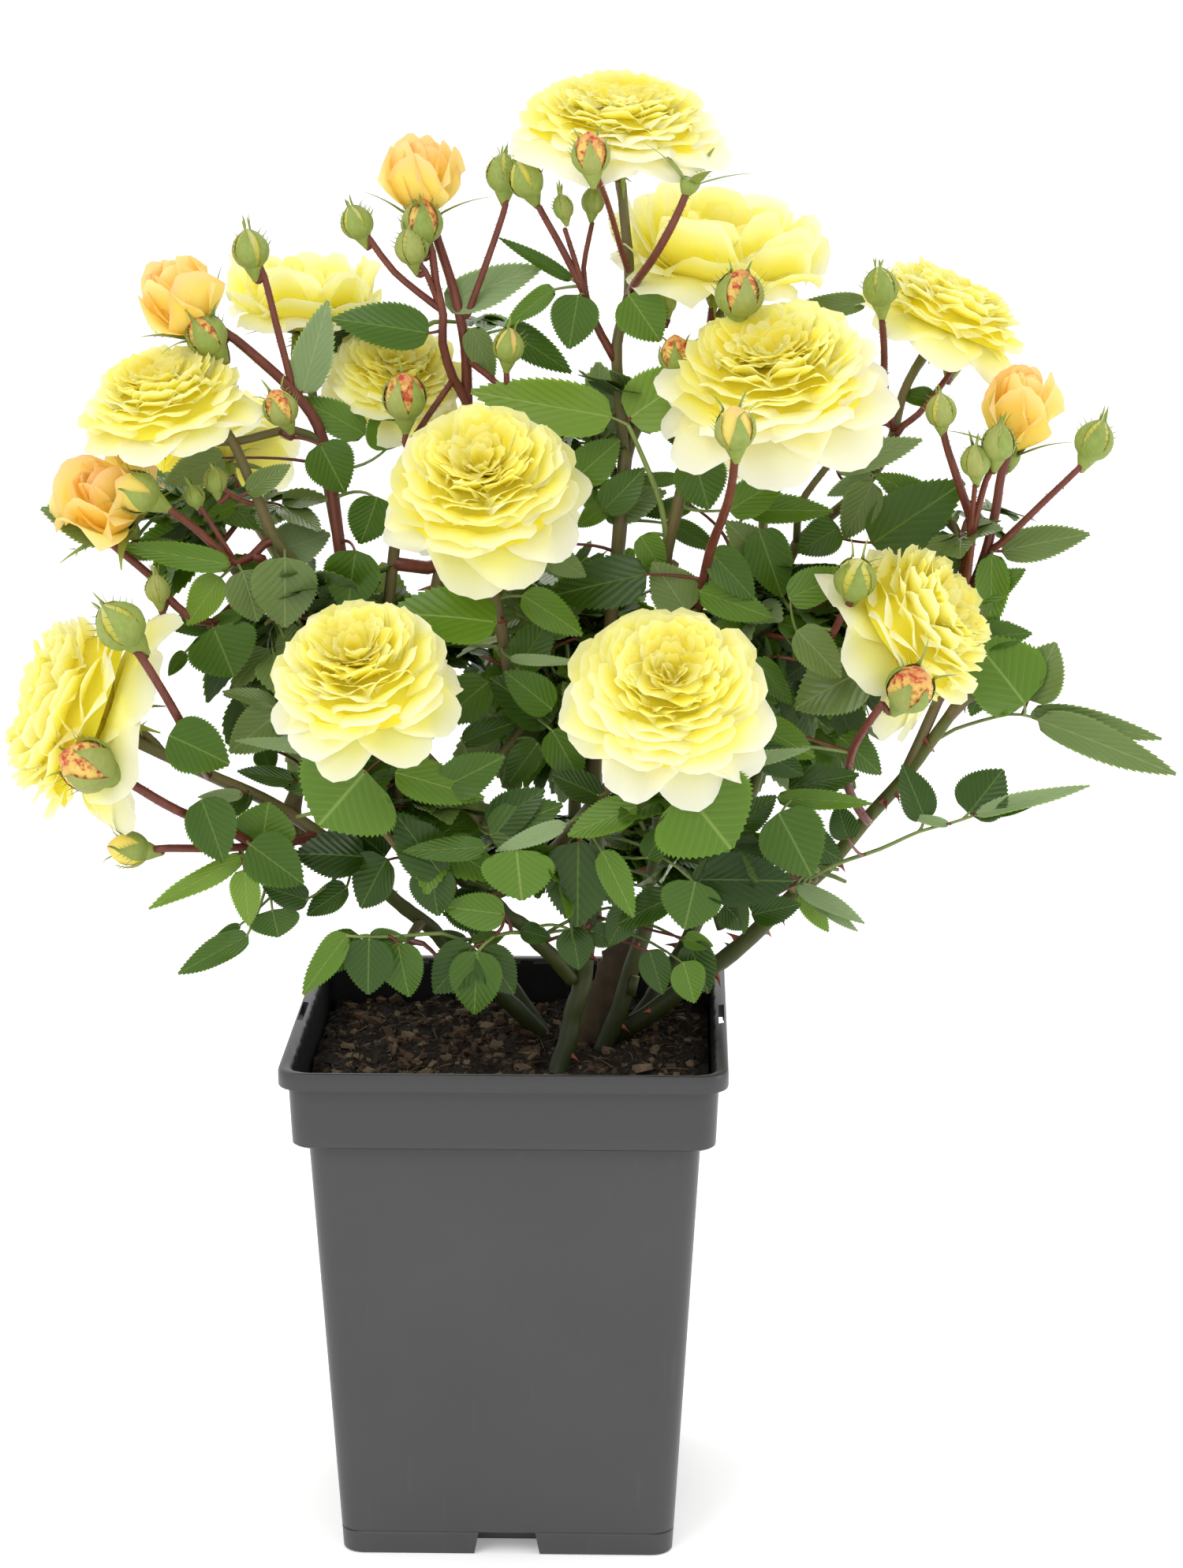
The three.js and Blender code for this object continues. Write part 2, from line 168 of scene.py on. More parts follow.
def leaf_material(name, blade, vein, rough, share=0.16, veins=8.0, bump_mm=0.35):
    m, nt, b = new_material(name, rough)
    uv = node(nt, "ShaderNodeUVMap", uv_map="leafuv")
    sep = node(nt, "ShaderNodeSeparateXYZ")
    nt.links.new(uv.outputs[0], sep.inputs[0])
    across = math_node(nt, "ABSOLUTE", math_node(nt, "SUBTRACT", sep.outputs[0], 0.5))
    along = sep.outputs[1]
    # side veins leave the midrib at a slant and curve forward to the edge
    slant = math_node(nt, "MULTIPLY", math_node(nt, "POWER", across, 0.85), 0.95)
    phase = math_node(nt, "FRACT", math_node(nt, "MULTIPLY", math_node(nt, "SUBTRACT", along, slant), veins))
    dist = math_node(nt, "ABSOLUTE", math_node(nt, "SUBTRACT", phase, 0.5))
    side = math_node(nt, "SUBTRACT", 1.0, math_node(nt, "MULTIPLY", dist, 11.0), clamp=True)
    fade = math_node(nt, "SUBTRACT", 1.0, math_node(nt, "MULTIPLY", across, 2.1), clamp=True)
    side = math_node(nt, "MULTIPLY", side, fade)
    mid = math_node(nt, "SUBTRACT", 1.0, math_node(nt, "MULTIPLY", across, 46.0), clamp=True)
    lines = math_node(nt, "MAXIMUM", math_node(nt, "MULTIPLY", side, 0.36), mid, clamp=True)
    # paler and darker islands between the veins
    quilt = math_node(nt, "MULTIPLY", dist, 0.5)
    body = mix_colour(nt, quilt, tuple(c * 1.06 for c in blade[:3]) + (1,), tuple(c * 0.90 for c in blade[:3]) + (1,))
    edge = math_node(nt, "MULTIPLY", math_node(nt, "POWER", math_node(nt, "MULTIPLY", across, 2.0), 6.0), 0.25, clamp=True)
    body = mix_colour(nt, edge, body, tuple(min(1, c * 1.5) for c in blade[:3]) + (1,))
    colour = mix_colour(nt, lines, body, vein)
    nt.links.new(colour, b.inputs["Base Color"])
    height = math_node(nt, "SUBTRACT", math_node(nt, "MULTIPLY", math_node(nt, "SINE", math_node(nt, "MULTIPLY", phase, math.pi)), -0.6),
                       math_node(nt, "MULTIPLY", mid, 0.9))
    bump(nt, b, height, 0.60, bump_mm * MM)
    b.inputs["Specular IOR Level"].default_value = 0.30
    translucent_mix(nt, b, tuple(min(1.0, c * k) for c, k in zip(blade[:3], (2.3, 2.4, 1.2))) + (1,), share)
    return m


def petal_material(name, base, body, edge, share=0.30, blotch=None):
    m, nt, b = new_material(name, 0.62)
    uv = node(nt, "ShaderNodeUVMap", uv_map="leafuv")
    sep = node(nt, "ShaderNodeSeparateXYZ")
    nt.links.new(uv.outputs[0], sep.inputs[0])
    colour = ramp(nt, sep.outputs[1], [(0.0, base), (0.42, body), (0.74, body), (1.0, edge)])
    fan = math_node(nt, "SINE", math_node(nt, "MULTIPLY", sep.outputs[0], 95.0))
    streak = math_node(nt, "MULTIPLY", math_node(nt, "ADD", math_node(nt, "MULTIPLY", fan, 0.5), 0.5),
                       math_node(nt, "SUBTRACT", 1.0, sep.outputs[1], clamp=True))
    colour = mix_colour(nt, math_node(nt, "MULTIPLY", streak, 0.22), colour, base)
    # the rim is palest all the way round, not only at the tip
    side = math_node(nt, "POWER", math_node(nt, "ABSOLUTE", math_node(nt, "MULTIPLY_ADD", sep.outputs[0], 2.0, -1.0)), 6.0)
    colour = mix_colour(nt, math_node(nt, "MULTIPLY", side, sep.outputs[1], clamp=True), colour, edge)
    if blotch:
        spots = math_node(nt, "MULTIPLY_ADD", noise(nt, object_coords(nt), 330.0, 3.0), 7.0, -3.4, clamp=True)
        colour = mix_colour(nt, spots, colour, blotch)
    nt.links.new(colour, b.inputs["Base Color"])
    bump(nt, b, fan, 0.10, 0.25 * MM)
    b.inputs["Specular IOR Level"].default_value = 0.25
    b.inputs["Sheen Weight"].default_value = 0.12
    translucent_mix(nt, b, colour, share)
    return m


def stem_material(name, low, high, rough=0.5, scale=260.0, bump_mm=0.25, stretch=0.18, foot=False):
    m, nt, b = new_material(name, rough)
    mp = node(nt, "ShaderNodeMapping")
    mp.inputs["Scale"].default_value = (1, 1, stretch)
    nt.links.new(object_coords(nt), mp.inputs[0])
    n1 = noise(nt, mp.outputs[0], scale, 4.0)
    n2 = noise(nt, object_coords(nt), 45.0, 2.0)
    fac = math_node(nt, "MULTIPLY_ADD", math_node(nt, "ADD", n1, n2), 1.3, -0.8, clamp=True)
    colour = mix_colour(nt, fac, low, high)
    if foot:
        # painted shade: the canes go dark towards the soil, under the crown
        sep = node(nt, "ShaderNodeSeparateXYZ")
        nt.links.new(object_coords(nt), sep.inputs[0])
        rise = math_node(nt, "MULTIPLY_ADD", sep.outputs[2], 9.0, -1.95, clamp=True)
        colour = mix_colour(nt, rise, tuple(c * 0.35 for c in low[:3]) + (1,), colour)
    nt.links.new(colour, b.inputs["Base Color"])
    b.inputs["Specular IOR Level"].default_value = 0.35
    bump(nt, b, n1, 0.5, bump_mm * MM)
    return m


G = lambda r, g, b: (r, g, b, 1.0)
# the greens run from deep to fresh: partly the leaves' own range of tone, partly painted shade, the deep and dark
# greens going where leaves stand in shade low in the plant
LEAF_TONES = [
    leaf_material("leaf_deep", G(0.018, 0.046, 0.004), G(0.090, 0.165, 0.030), 0.27),
    leaf_material("leaf_dark", G(0.032, 0.076, 0.006), G(0.120, 0.205, 0.038), 0.27, 0.20),
    leaf_material("leaf_mid", G(0.056, 0.122, 0.009), G(0.165, 0.260, 0.048), 0.30, 0.20),
    leaf_material("leaf_bright", G(0.096, 0.190, 0.014), G(0.240, 0.350, 0.070), 0.32, 0.20),
    leaf_material("leaf_fresh", G(0.170, 0.280, 0.032), G(0.330, 0.430, 0.110), 0.36, 0.26),
    leaf_material("leaf_under", G(0.225, 0.310, 0.140), G(0.360, 0.440, 0.220), 0.55, 0.20),
    # painted sheen: a paler, greyer green for leaves whose gloss shows the white surroundings
    leaf_material("leaf_painted_sheen", G(0.140, 0.205, 0.058), G(0.270, 0.340, 0.130), 0.24, 0.20),
    # painted shade: the underside colour darkened, for undersides that face down into shade
    leaf_material("leaf_back_shaded", G(0.085, 0.140, 0.045), G(0.190, 0.250, 0.110), 0.55, 0.20),
]
DEEP, DARK, MID, BRIGHT, FRESH, UNDER, SHEEN, SHADED_BACK = range(8)
PETALS = [
    petal_material("petal_heart", G(1.0, 0.85, 0.045), G(1.0, 0.92, 0.100), G(1.0, 0.98, 0.44), 0.62),
    petal_material("petal_lemon", G(1.0, 0.89, 0.080), G(1.0, 0.95, 0.210), G(1.0, 0.99, 0.60), 0.60),
    petal_material("petal_pale", G(1.0, 0.92, 0.150), G(1.0, 0.97, 0.350), G(1.0, 0.99, 0.76), 0.44),
    petal_material("petal_cream", G(0.98, 0.92, 0.300), G(0.99, 0.96, 0.580), G(1.0, 0.99, 0.86), 0.40),
    petal_material("petal_apricot", G(1.0, 0.88, 0.110), G(1.0, 0.79, 0.160), G(1.0, 0.80, 0.36), 0.42),
    petal_material("petal_amber", G(1.0, 0.90, 0.150), G(1.0, 0.87, 0.220), G(1.0, 0.70, 0.34), 0.42),
    petal_material("petal_flame", G(0.98, 0.84, 0.20), G(0.97, 0.70, 0.180), G(0.80, 0.30, 0.120), 0.30, G(0.60, 0.085, 0.045)),
]
HEART, LEMON, PALE, CREAM, APRICOT, AMBER, FLAME = range(7)
WOODS = [
    stem_material("cane_green", G(0.050, 0.070, 0.011), G(0.115, 0.126, 0.024), 0.50, foot=True),
    stem_material("cane_old", G(0.040, 0.028, 0.016), G(0.110, 0.078, 0.045), 0.85, 160.0, bump_mm=0.8),
    stem_material("stem_olive", G(0.105, 0.120, 0.034), G(0.160, 0.100, 0.045), 0.45),
    stem_material("stem_red", G(0.100, 0.020, 0.014), G(0.190, 0.054, 0.032), 0.36),
    stem_material("stem_green", G(0.140, 0.200, 0.045), G(0.210, 0.270, 0.080), 0.45),
    stem_material("thorn_red", G(0.160, 0.036, 0.022), G(0.270, 0.080, 0.040), 0.38),
    stem_material("cut_wood", G(0.200, 0.120, 0.060), G(0.330, 0.210, 0.110), 0.9, 300.0, bump_mm=0.5),
]
GREENCANE, OLDCANE, OLIVE, RED, GREENSTEM, THORN, CUTWOOD = range(7)
CALYX = [
    stem_material("sepal_green", G(0.180, 0.250, 0.040), G(0.300, 0.360, 0.085), 0.55, 500.0, stretch=0.6),
    stem_material("sepal_flush", G(0.230, 0.270, 0.060), G(0.340, 0.370, 0.100), 0.55, 500.0, stretch=0.6),
    stem_material("anther", G(0.55, 0.30, 0.05), G(0.75, 0.50, 0.10), 0.8),
]
SEPAL, FLUSH, ANTHER = range(3)


# ------------------------------------------------------------------ piles
class Pile:
    """Faces of one kind, gathered in millimetres and made into joined meshes."""

    def __init__(self, name, materials, nodes, slot, limit=180000, smooth=True):
        self.name, self.materials, self.nodes, self.slot = name, materials, nodes, slot
        self.limit, self.smooth = limit, smooth
        self.clear()
        self.made = []

    def clear(self):
        self.v, self.uv, self.q, self.t, self.qm, self.tm = [], [], [], [], [], []
        self.n = self.tris = 0

    def add(self, verts, quads=None, tris=None, mat=0, uv=None, qmat=None, tmat=None):
        k = len(verts)
        size = (0 if quads is None else 2 * len(quads)) + (0 if tris is None else len(tris))
        if self.tris + size > self.limit:
            self.build()
        self.v.append(np.asarray(verts, float))
        self.uv.append(np.zeros((k, 2)) + 0.5 if uv is None else np.asarray(uv, float))
        if quads is not None and len(quads):
            self.q.append(np.asarray(quads) + self.n)
            self.qm.append(np.full(len(quads), mat) if qmat is None else np.asarray(qmat))
        if tris is not None and len(tris):
            self.t.append(np.asarray(tris) + self.n)
            self.tm.append(np.full(len(tris), mat) if tmat is None else np.asarray(tmat))
        self.n += k
        self.tris += size

    def build(self):
        if not self.n:
            return
        name = self.name if not self.made else f"{self.name}_{len(self.made) + 1}"
        v = np.concatenate(self.v) * MM
        uv = np.concatenate(self.uv)
        q = np.concatenate(self.q) if self.q else np.zeros((0, 4), int)
        t = np.concatenate(self.t) if self.t else np.zeros((0, 3), int)
        mats = np.concatenate([np.concatenate(self.qm) if self.qm else np.zeros(0, int),
                               np.concatenate(self.tm) if self.tm else np.zeros(0, int)]).astype(np.int32)
        loops = np.concatenate([q.ravel(), t.ravel()]).astype(np.int32)
        totals = np.concatenate([np.full(len(q), 4), np.full(len(t), 3)]).astype(np.int32)
        starts = np.concatenate([[0], np.cumsum(totals)[:-1]]).astype(np.int32)
        me = bpy.data.meshes.new(name)
        me.vertices.add(len(v))
        me.vertices.foreach_set("co", v.astype(np.float32).ravel())
        me.loops.add(len(loops))
        me.loops.foreach_set("vertex_index", loops)
        me.polygons.add(len(totals))
        me.polygons.foreach_set("loop_start", starts)
        me.polygons.foreach_set("loop_total", totals)
        me.polygons.foreach_set("material_index", mats)
        me.polygons.foreach_set("use_smooth", np.full(len(totals), self.smooth))
        used = self.materials
        layer = me.uv_layers.new(name="leafuv")
        luv = uv[loops]
        layer.data.foreach_set("uv", luv.astype(np.float32).ravel())
        # one tile of the OFBake map for each material, shared by all its faces
        per_loop = np.repeat(mats, totals)
        grid = max(1, math.ceil(math.sqrt(len(used))))
        tile = np.stack([per_loop % grid, per_loop // grid], 1)
        bake = (tile + 0.06 + 0.88 * np.clip(luv, 0, 1)) / grid
        layer2 = me.uv_layers.new(name="OFBake")
        layer2.data.foreach_set("uv", bake.astype(np.float32).ravel())
        for m in used:
            me.materials.append(m)
        me.update(calc_edges=True)
        me.validate()
        ob = bpy.data.objects.new(name, me)
        bpy.context.scene.collection.objects.link(ob)
        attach(ob, "root")
        self.made.append(ob)
        self.clear()

    def close(self):
        self.build()
        if self.made and self.nodes:
            first = True
            for ob in self.made:
                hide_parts(*self.nodes)
        return self.made


def unit(v):
    v = np.asarray(v, float)
    return v / (np.linalg.norm(v) + 1e-12)


def grid_quads(rows, cols, wrap=False):
    """Quads of a rows x cols grid of vertices."""
    r = np.arange(rows - 1)[:, None]
    c = np.arange(cols if wrap else cols - 1)[None, :]
    a = r * cols + c
    b = r * cols + (c + 1) % cols
    return np.stack([a, b, b + cols, a + cols], -1).reshape(-1, 4)


# ------------------------------------------------------------------ curves and tubes
def smooth_path(points, step=6.0):
    """Catmull-Rom through the points, sampled about every `step` mm."""
    p = np.asarray(points, float)
    if len(p) == 2:
        n = max(2, int(np.linalg.norm(p[1] - p[0]) / step))
        return p[0] + (p[1] - p[0]) * np.linspace(0, 1, n + 1)[:, None]
    ext = np.vstack([2 * p[0] - p[1], p, 2 * p[-1] - p[-2]])
    out = []
    for i in range(1, len(ext) - 2):
        a, b, c, d = ext[i - 1], ext[i], ext[i + 1], ext[i + 2]
        n = max(2, int(np.linalg.norm(c - b) / step))
        t = np.linspace(0, 1, n, endpoint=False)[:, None]
        out.append(0.5 * ((2 * b) + (-a + c) * t + (2 * a - 5 * b + 4 * c - d) * t ** 2 + (-a + 3 * b - 3 * c + d) * t ** 3))
    out.append(p[-1][None])
    return np.concatenate(out)


def bezier(p0, p1, p2, n):
    t = np.linspace(0, 1, n)[:, None]
    return (1 - t) ** 2 * p0 + 2 * t * (1 - t) * p1 + t ** 2 * p2


def frames(path):
    """Tangents and a steady pair of normals along a path."""
    t = np.gradient(path, axis=0)
    t /= np.linalg.norm(t, axis=1)[:, None] + 1e-12
    ref = np.array([0.0, 1.0, 0.0]) if abs(t[0][1]) < 0.9 else np.array([1.0, 0, 0])
    n = unit(ref - t[0] * ref.dot(t[0]))
    ns = [n]
    for i in range(1, len(path)):
        n = unit(n - t[i] * n.dot(t[i]))
        ns.append(n)
    ns = np.array(ns)
    return t, ns, np.cross(t, ns)


def tube(pile, path, r0, r1, sides, mat, lumps=0.0, cap=True, power=1.0, radii=None, endmat=None, top_cap_bulge=0.6):
    t, n, b = frames(path)
    k = len(path)
    u = np.linspace(0, 1, k)
    r = r0 + (r1 - r0) * u ** power if radii is None else np.asarray(radii)
    a = np.linspace(0, 2 * math.pi, sides, endpoint=False)
    rr = r[:, None] * np.ones(sides)
    if lumps:
        rr = rr * (1 + lumps * rng.standard_normal((k, sides)) * 0.5)
    ring = path[:, None] + rr[..., None] * (np.cos(a)[None, :, None] * n[:, None] + np.sin(a)[None, :, None] * b[:, None])
    verts = ring.reshape(-1, 3)
    quads = grid_quads(k, sides, wrap=True)
    tris, tm = [], []
    if cap:
        verts = np.vstack([verts, path[0] - t[0] * r[0] * 0.1, path[-1] + t[-1] * r[-1] * top_cap_bulge])
        lo, hi = k * sides, k * sides + 1
        for i in range(sides):
            j = (i + 1) % sides
            tris += [[lo, j, i], [hi, (k - 1) * sides + i, (k - 1) * sides + j]]
            tm += [mat, mat if endmat is None else endmat]
    uv = np.stack([np.tile(np.linspace(0, 1, sides), k), np.repeat(u, sides)], 1)
    if cap:
        uv = np.vstack([uv, [0.5, 0], [0.5, 1]])
    pile.add(verts, quads, np.array(tris) if tris else None, mat, uv, tmat=np.array(tm) if tris else None)


def spike(pile, base, direction, length, radius, mat, bend=None, sides=5):
    """A prickle: broad at the foot, hooked towards `bend`."""
    d = unit(direction)
    ref = np.array([0, 0, 1.0]) if abs(d[2]) < 0.9 else np.array([1.0, 0, 0])
    x = unit(np.cross(d, ref))
    y = np.cross(d, x)
    a = np.linspace(0, 2 * math.pi, sides, endpoint=False)
    rings = []
    bend = np.zeros(3) if bend is None else np.asarray(bend)
    for f, rf in ((0.0, 1.0), (0.4, 0.42)):
        c = base + d * length * f + bend * length * f * f
        rings.append(c + radius * rf * (np.cos(a)[:, None] * x * 0.7 + np.sin(a)[:, None] * y * 1.3))
    tip = base + d * length + bend * length
    verts = np.vstack(rings + [tip[None]])
    quads = grid_quads(2, sides, wrap=True)
    tris = [[sides + i, sides + (i + 1) % sides, 2 * sides] for i in range(sides)]
    pile.add(verts, quads, np.array(tris), mat)


canes = Pile("canes_and_stems", WOODS, [], "bark")
fuzz = Pile("stem_bristles", WOODS, [], "red_stem", smooth=False)
leaves = Pile("leaves", LEAF_TONES, [], "leaf")
petals = Pile("flowers", PETALS, [], "petal")
calyxes = Pile("sepals_and_buds", CALYX + PETALS, [], "leaf")


def bristles(path, r, density, length=1.35, mat=RED, start=0.0):
    """Fine glandular hairs around a flower stalk."""
    t, n, b = frames(path)
    seg = np.linalg.norm(np.diff(path, axis=0), axis=1)
    total = seg.sum()
    k = int(total * density)
    cum = np.concatenate([[0], np.cumsum(seg)]) / total
    for _ in range(k):
        u = start + (1 - start) * rng.random()
        i = min(len(path) - 2, max(0, int(np.searchsorted(cum, u)) - 1))
        f = (u - cum[i]) / (cum[i + 1] - cum[i] + 1e-9)
        p = path[i] * (1 - f) + path[i + 1] * f
        a = rng.random() * 2 * math.pi
        d = math.cos(a) * n[i] + math.sin(a) * b[i]
        s = unit(np.cross(d, t[i]))
        rad = (r[i] if hasattr(r, "__len__") else r) * 0.9
        base = p + d * rad
        w = 0.16
        L = length * (0.6 + 0.6 * rng.random())
        verts = np.array([base - s * w, base + s * w, base + t[i] * w * 1.5, base + d * L])
        fuzz.add(verts, tris=np.array([[0, 1, 3], [1, 2, 3], [2, 0, 3]]), mat=mat)


# ------------------------------------------------------------------ leaflets
def leaflet_shape(teeth, cols):
    """Topology of a leaflet: `teeth` teeth on each side, `cols` columns from midrib to edge."""
    t = np.linspace(0, 1, teeth + 1)
    return t, cols


def half_width(t, a=0.62, b=0.80):
    peak = (a / (a + b)) ** a * (b / (a + b)) ** b
    return np.clip(t, 1e-4, 1) ** a * np.clip(1 - t, 0, 1) ** b / peak


def leaflet(base, tip_dir, normal, length, ratio=0.66, tone=MID, teeth=12, fold=0.16, droop=0.10, twist=0.0,
            wave=0.03, shape=(0.52, 0.90), under=True):
    """One serrated leaflet. base: its foot, tip_dir: towards the tip, normal: its upper side."""
    y = unit(tip_dir)
    z = unit(np.asarray(normal) - y * np.dot(normal, y))
    x = np.cross(y, z)
    st = np.linspace(0, 1, teeth + 1)
    w = 0.5 * ratio * length * half_width(st, *shape)
    fr = np.array([0.0, 0.48, 0.96])
    side_x, side_y, uvx = [], [], []
    ph = rng.random() * 6.28
    amp = wave * length * (0.5 + rng.random())

    def lift(xx, yy):
        s = yy / length
        zz = fold * np.abs(xx) - droop * length * s ** 2 + amp * np.sin(5.5 * s + ph) * (np.abs(xx) / (0.5 * ratio * length + 1e-6)) ** 2
        return zz + twist * xx * s

    def to_world(xx, yy, dz=0.0):
        zz = lift(xx, yy) + dz
        return base + xx[:, None] * x + yy[:, None] * y + zz[:, None] * z

    xs, ys = [], []
    for f in (-0.96, -0.48, 0.0, 0.48, 0.96):
        xs.append(w * f)
        ys.append(st * length - (abs(f) * 0.02 * length))
    X = np.array(xs).T.ravel()
    Y = np.clip(np.array(ys).T.ravel(), 0, length)
    verts = [to_world(X, Y)]
    quads = grid_quads(teeth + 1, 5)
    # teeth: one for each step along each edge, leaning forward
    mid = (st[:-1] + 0.80 / teeth)
    wt = 0.5 * ratio * length * half_width(np.minimum(mid, 0.995), *shape)
    depth = 0.66 * math.sqrt(length / 35.0) * (1.0 if ratio > 0.35 else 0.6) * math.sqrt(12.0 / teeth)
    tx = np.concatenate([-(wt + depth), wt + depth])
    ty = np.concatenate([mid, mid]) * length
    verts.append(to_world(tx, ty))
    n0 = 5 * (teeth + 1)
    tris = []
    for i in range(teeth):
        tris.append([i * 5, (i + 1) * 5, n0 + i])
        tris.append([i * 5 + 4, n0 + teeth + i, (i + 1) * 5 + 4])
    V = np.concatenate(verts)
    allx = np.concatenate([X, tx])
    ally = np.concatenate([Y, ty])
    uv = np.stack([0.5 + allx / (ratio * length * 1.08), ally / length], 1)
    qm = np.full(len(quads), tone)
    tm = np.full(len(tris), tone)
    Q, T = [quads], [np.array(tris)]
    if under:
        # the paler underside, a plain sheet just below the blade; most leaves take the darkened underside green,
        # painted shade
        X2, Y2 = X * 0.97, Y
        V2 = to_world(X2, Y2, -0.30)
        off = len(V)
        q2 = grid_quads(teeth + 1, 5)[:, ::-1] + off
        V = np.concatenate([V, V2])
        uv = np.concatenate([uv, np.stack([0.5 + X2 / (ratio * length * 1.08), Y2 / length], 1)])
        Q.append(q2)
        qm = np.concatenate([qm, np.full(len(q2), UNDER if tone in (UNDER, FRESH) else SHADED_BACK)])
    leaves.add(V, np.concatenate(Q), np.concatenate(T), uv=np.clip(uv, 0, 1), qmat=qm, tmat=tm)


def stalk(p0, p1, p2, r0, r1, mat=GREENSTEM, n=7, sides=5):
    path = bezier(np.asarray(p0, float), np.asarray(p1, float), np.asarray(p2, float), n)
    tube(canes, path, r0, r1, sides, mat)
    return path


def compound_leaf(foot, out, normal, reach, size, pairs=2, tone=MID, spread=1.05, fresh=0.0, droop=0.25, teeth=10, under=True):
    """A rose leaf: stalk, pairs of leaflets and a larger end leaflet. `reach` is the stalk's length."""
    out = unit(out)
    normal = unit(np.asarray(normal) - out * np.dot(normal, out))
    side = np.cross(out, normal)
    end = foot + out * reach - normal * reach * droop * 0.6
    mid = foot + out * reach * 0.55 + normal * reach * 0.05
    path = stalk(foot, mid, end, 0.95, 0.62, RED if rng.random() < fresh else GREENSTEM, 8, 5)
    t, _, _ = frames(path)
    endt = t[-1]
    nz = unit(normal - endt * np.dot(normal, endt))
    jitter = lambda s: (rng.random(3) - 0.5) * s
    leaflet(path[-1], endt + jitter(0.15), nz + jitter(0.25), size * (1.0 + 0.12 * rng.random()), 0.62 + 0.10 * rng.random(), tone, teeth,
            fold=0.10 + 0.16 * rng.random(), droop=0.05 + 0.16 * rng.random(), twist=(rng.random() - 0.5) * 0.5, under=under)
    for k in range(pairs):
        f = 0.80 - 0.36 * k
        i = int(round(f * (len(path) - 1)))
        p = path[i]
        tk = t[i]
        nk = unit(normal - tk * np.dot(normal, tk))
        sk = np.cross(tk, nk)
        for sgn in (-1, 1):
            ang = spread * (0.9 + 0.25 * rng.random())
            d = unit(tk * math.cos(ang) + sk * sgn * math.sin(ang) + nk * 0.10 * (rng.random() - 0.2) + jitter(0.12))
            leaflet(p + d * 1.6, d, nk + sk * sgn * -0.15 + jitter(0.30), size * (0.90 - 0.17 * k) * (0.92 + 0.16 * rng.random()),
                    0.62 + 0.10 * rng.random(), tone, teeth, fold=0.10 + 0.16 * rng.random(), droop=0.04 + 0.16 * rng.random(),
                    twist=(rng.random() - 0.5) * 0.5, under=under)
    # stipules: two narrow wings on the foot of the stalk
    for sgn in (-1, 1):
        leaflet(foot + out * 1.0, unit(out + side * sgn * 0.28), normal, min(14.0, reach * 0.32), 0.30, tone, 4, fold=0.3, droop=0.0, under=False)


# ------------------------------------------------------------------ petals and flowers
def petal(pile, origin, axis, ref, azimuth, R, H, c_r, c_h, width, mat, rows=8, cols=7, cup=0.25, roll=0.0, ripple=0.6,
          notch=0.05, r0=2.0, h0=0.0, lean=0.0, tipcurl=0.0, squeeze=1.0, point=0.0):
    """One petal from the flower's heart to a tip at radius R and height H along the axis.
    c_r, c_h place the belly of its curve, cup bends its sides up, roll turns its edge back."""
    a = unit(axis)
    e1 = unit(np.asarray(ref) - a * np.dot(ref, a))
    e2 = np.cross(a, e1)
    rad = e1 * math.cos(azimuth) + e2 * math.sin(azimuth)
    tan = -e1 * math.sin(azimuth) + e2 * math.cos(azimuth)
    s = np.linspace(0, 1, rows)[:, None]
    t = np.linspace(-1, 1, cols)[None, :]
    top = 1 - 0.30 * np.abs(t) ** 3.4 - notch * np.exp(-(t / 0.22) ** 2) + point * np.exp(-(t / 0.16) ** 2)
    se = s * top
    pr = (1 - se) ** 2 * r0 + 2 * se * (1 - se) * c_r + se ** 2 * R
    ph = (1 - se) ** 2 * h0 + 2 * se * (1 - se) * c_h + se ** 2 * H
    dr = 2 * (1 - se) * (c_r - r0) + 2 * se * (R - c_r)
    dh = 2 * (1 - se) * (c_h - h0) + 2 * se * (H - c_h)
    ln = np.sqrt(dr ** 2 + dh ** 2) + 1e-6
    nr, nh = -dh / ln, dr / ln            # towards the axis and up
    g = 0.20 + 0.80 * np.sin(np.minimum(s / 0.78, 1) * math.pi / 2) ** 0.85
    g = g * (1 - 0.16 * np.clip(s - 0.78, 0, 1) / 0.22) * squeeze
    hw = 0.5 * width * g
    phase = rng.random() * 6.28
    k1 = 2.4 + 2.0 * rng.random()
    off = cup * hw * t ** 2 * (1 - 0.35 * s) - roll * width * 0.5 * np.abs(t) ** 3 * s ** 2
    off = off + ripple * s ** 2 * (np.sin(k1 * t * 1.5 + phase) + 0.28 * np.sin(5.6 * t + 2 * phase)) * (0.35 + 0.65 * np.abs(t))
    off = off - tipcurl * np.clip(s - 0.62, 0, 1) ** 2 * 9.0
    r = pr + nr * off
    h = ph + nh * off
    x = hw * t * (1 - 0.10 * cup * t ** 2) + lean * s * width * 0.25
    P = origin + r[..., None] * rad + x[..., None] * tan + h[..., None] * a
    verts = P.reshape(-1, 3)
    uv = np.stack([np.broadcast_to(0.5 + 0.5 * t * 0.98, (rows, cols)), np.broadcast_to(s, (rows, cols))], -1).reshape(-1, 2)
    pile.add(verts, grid_quads(rows, cols), mat=mat, uv=uv)


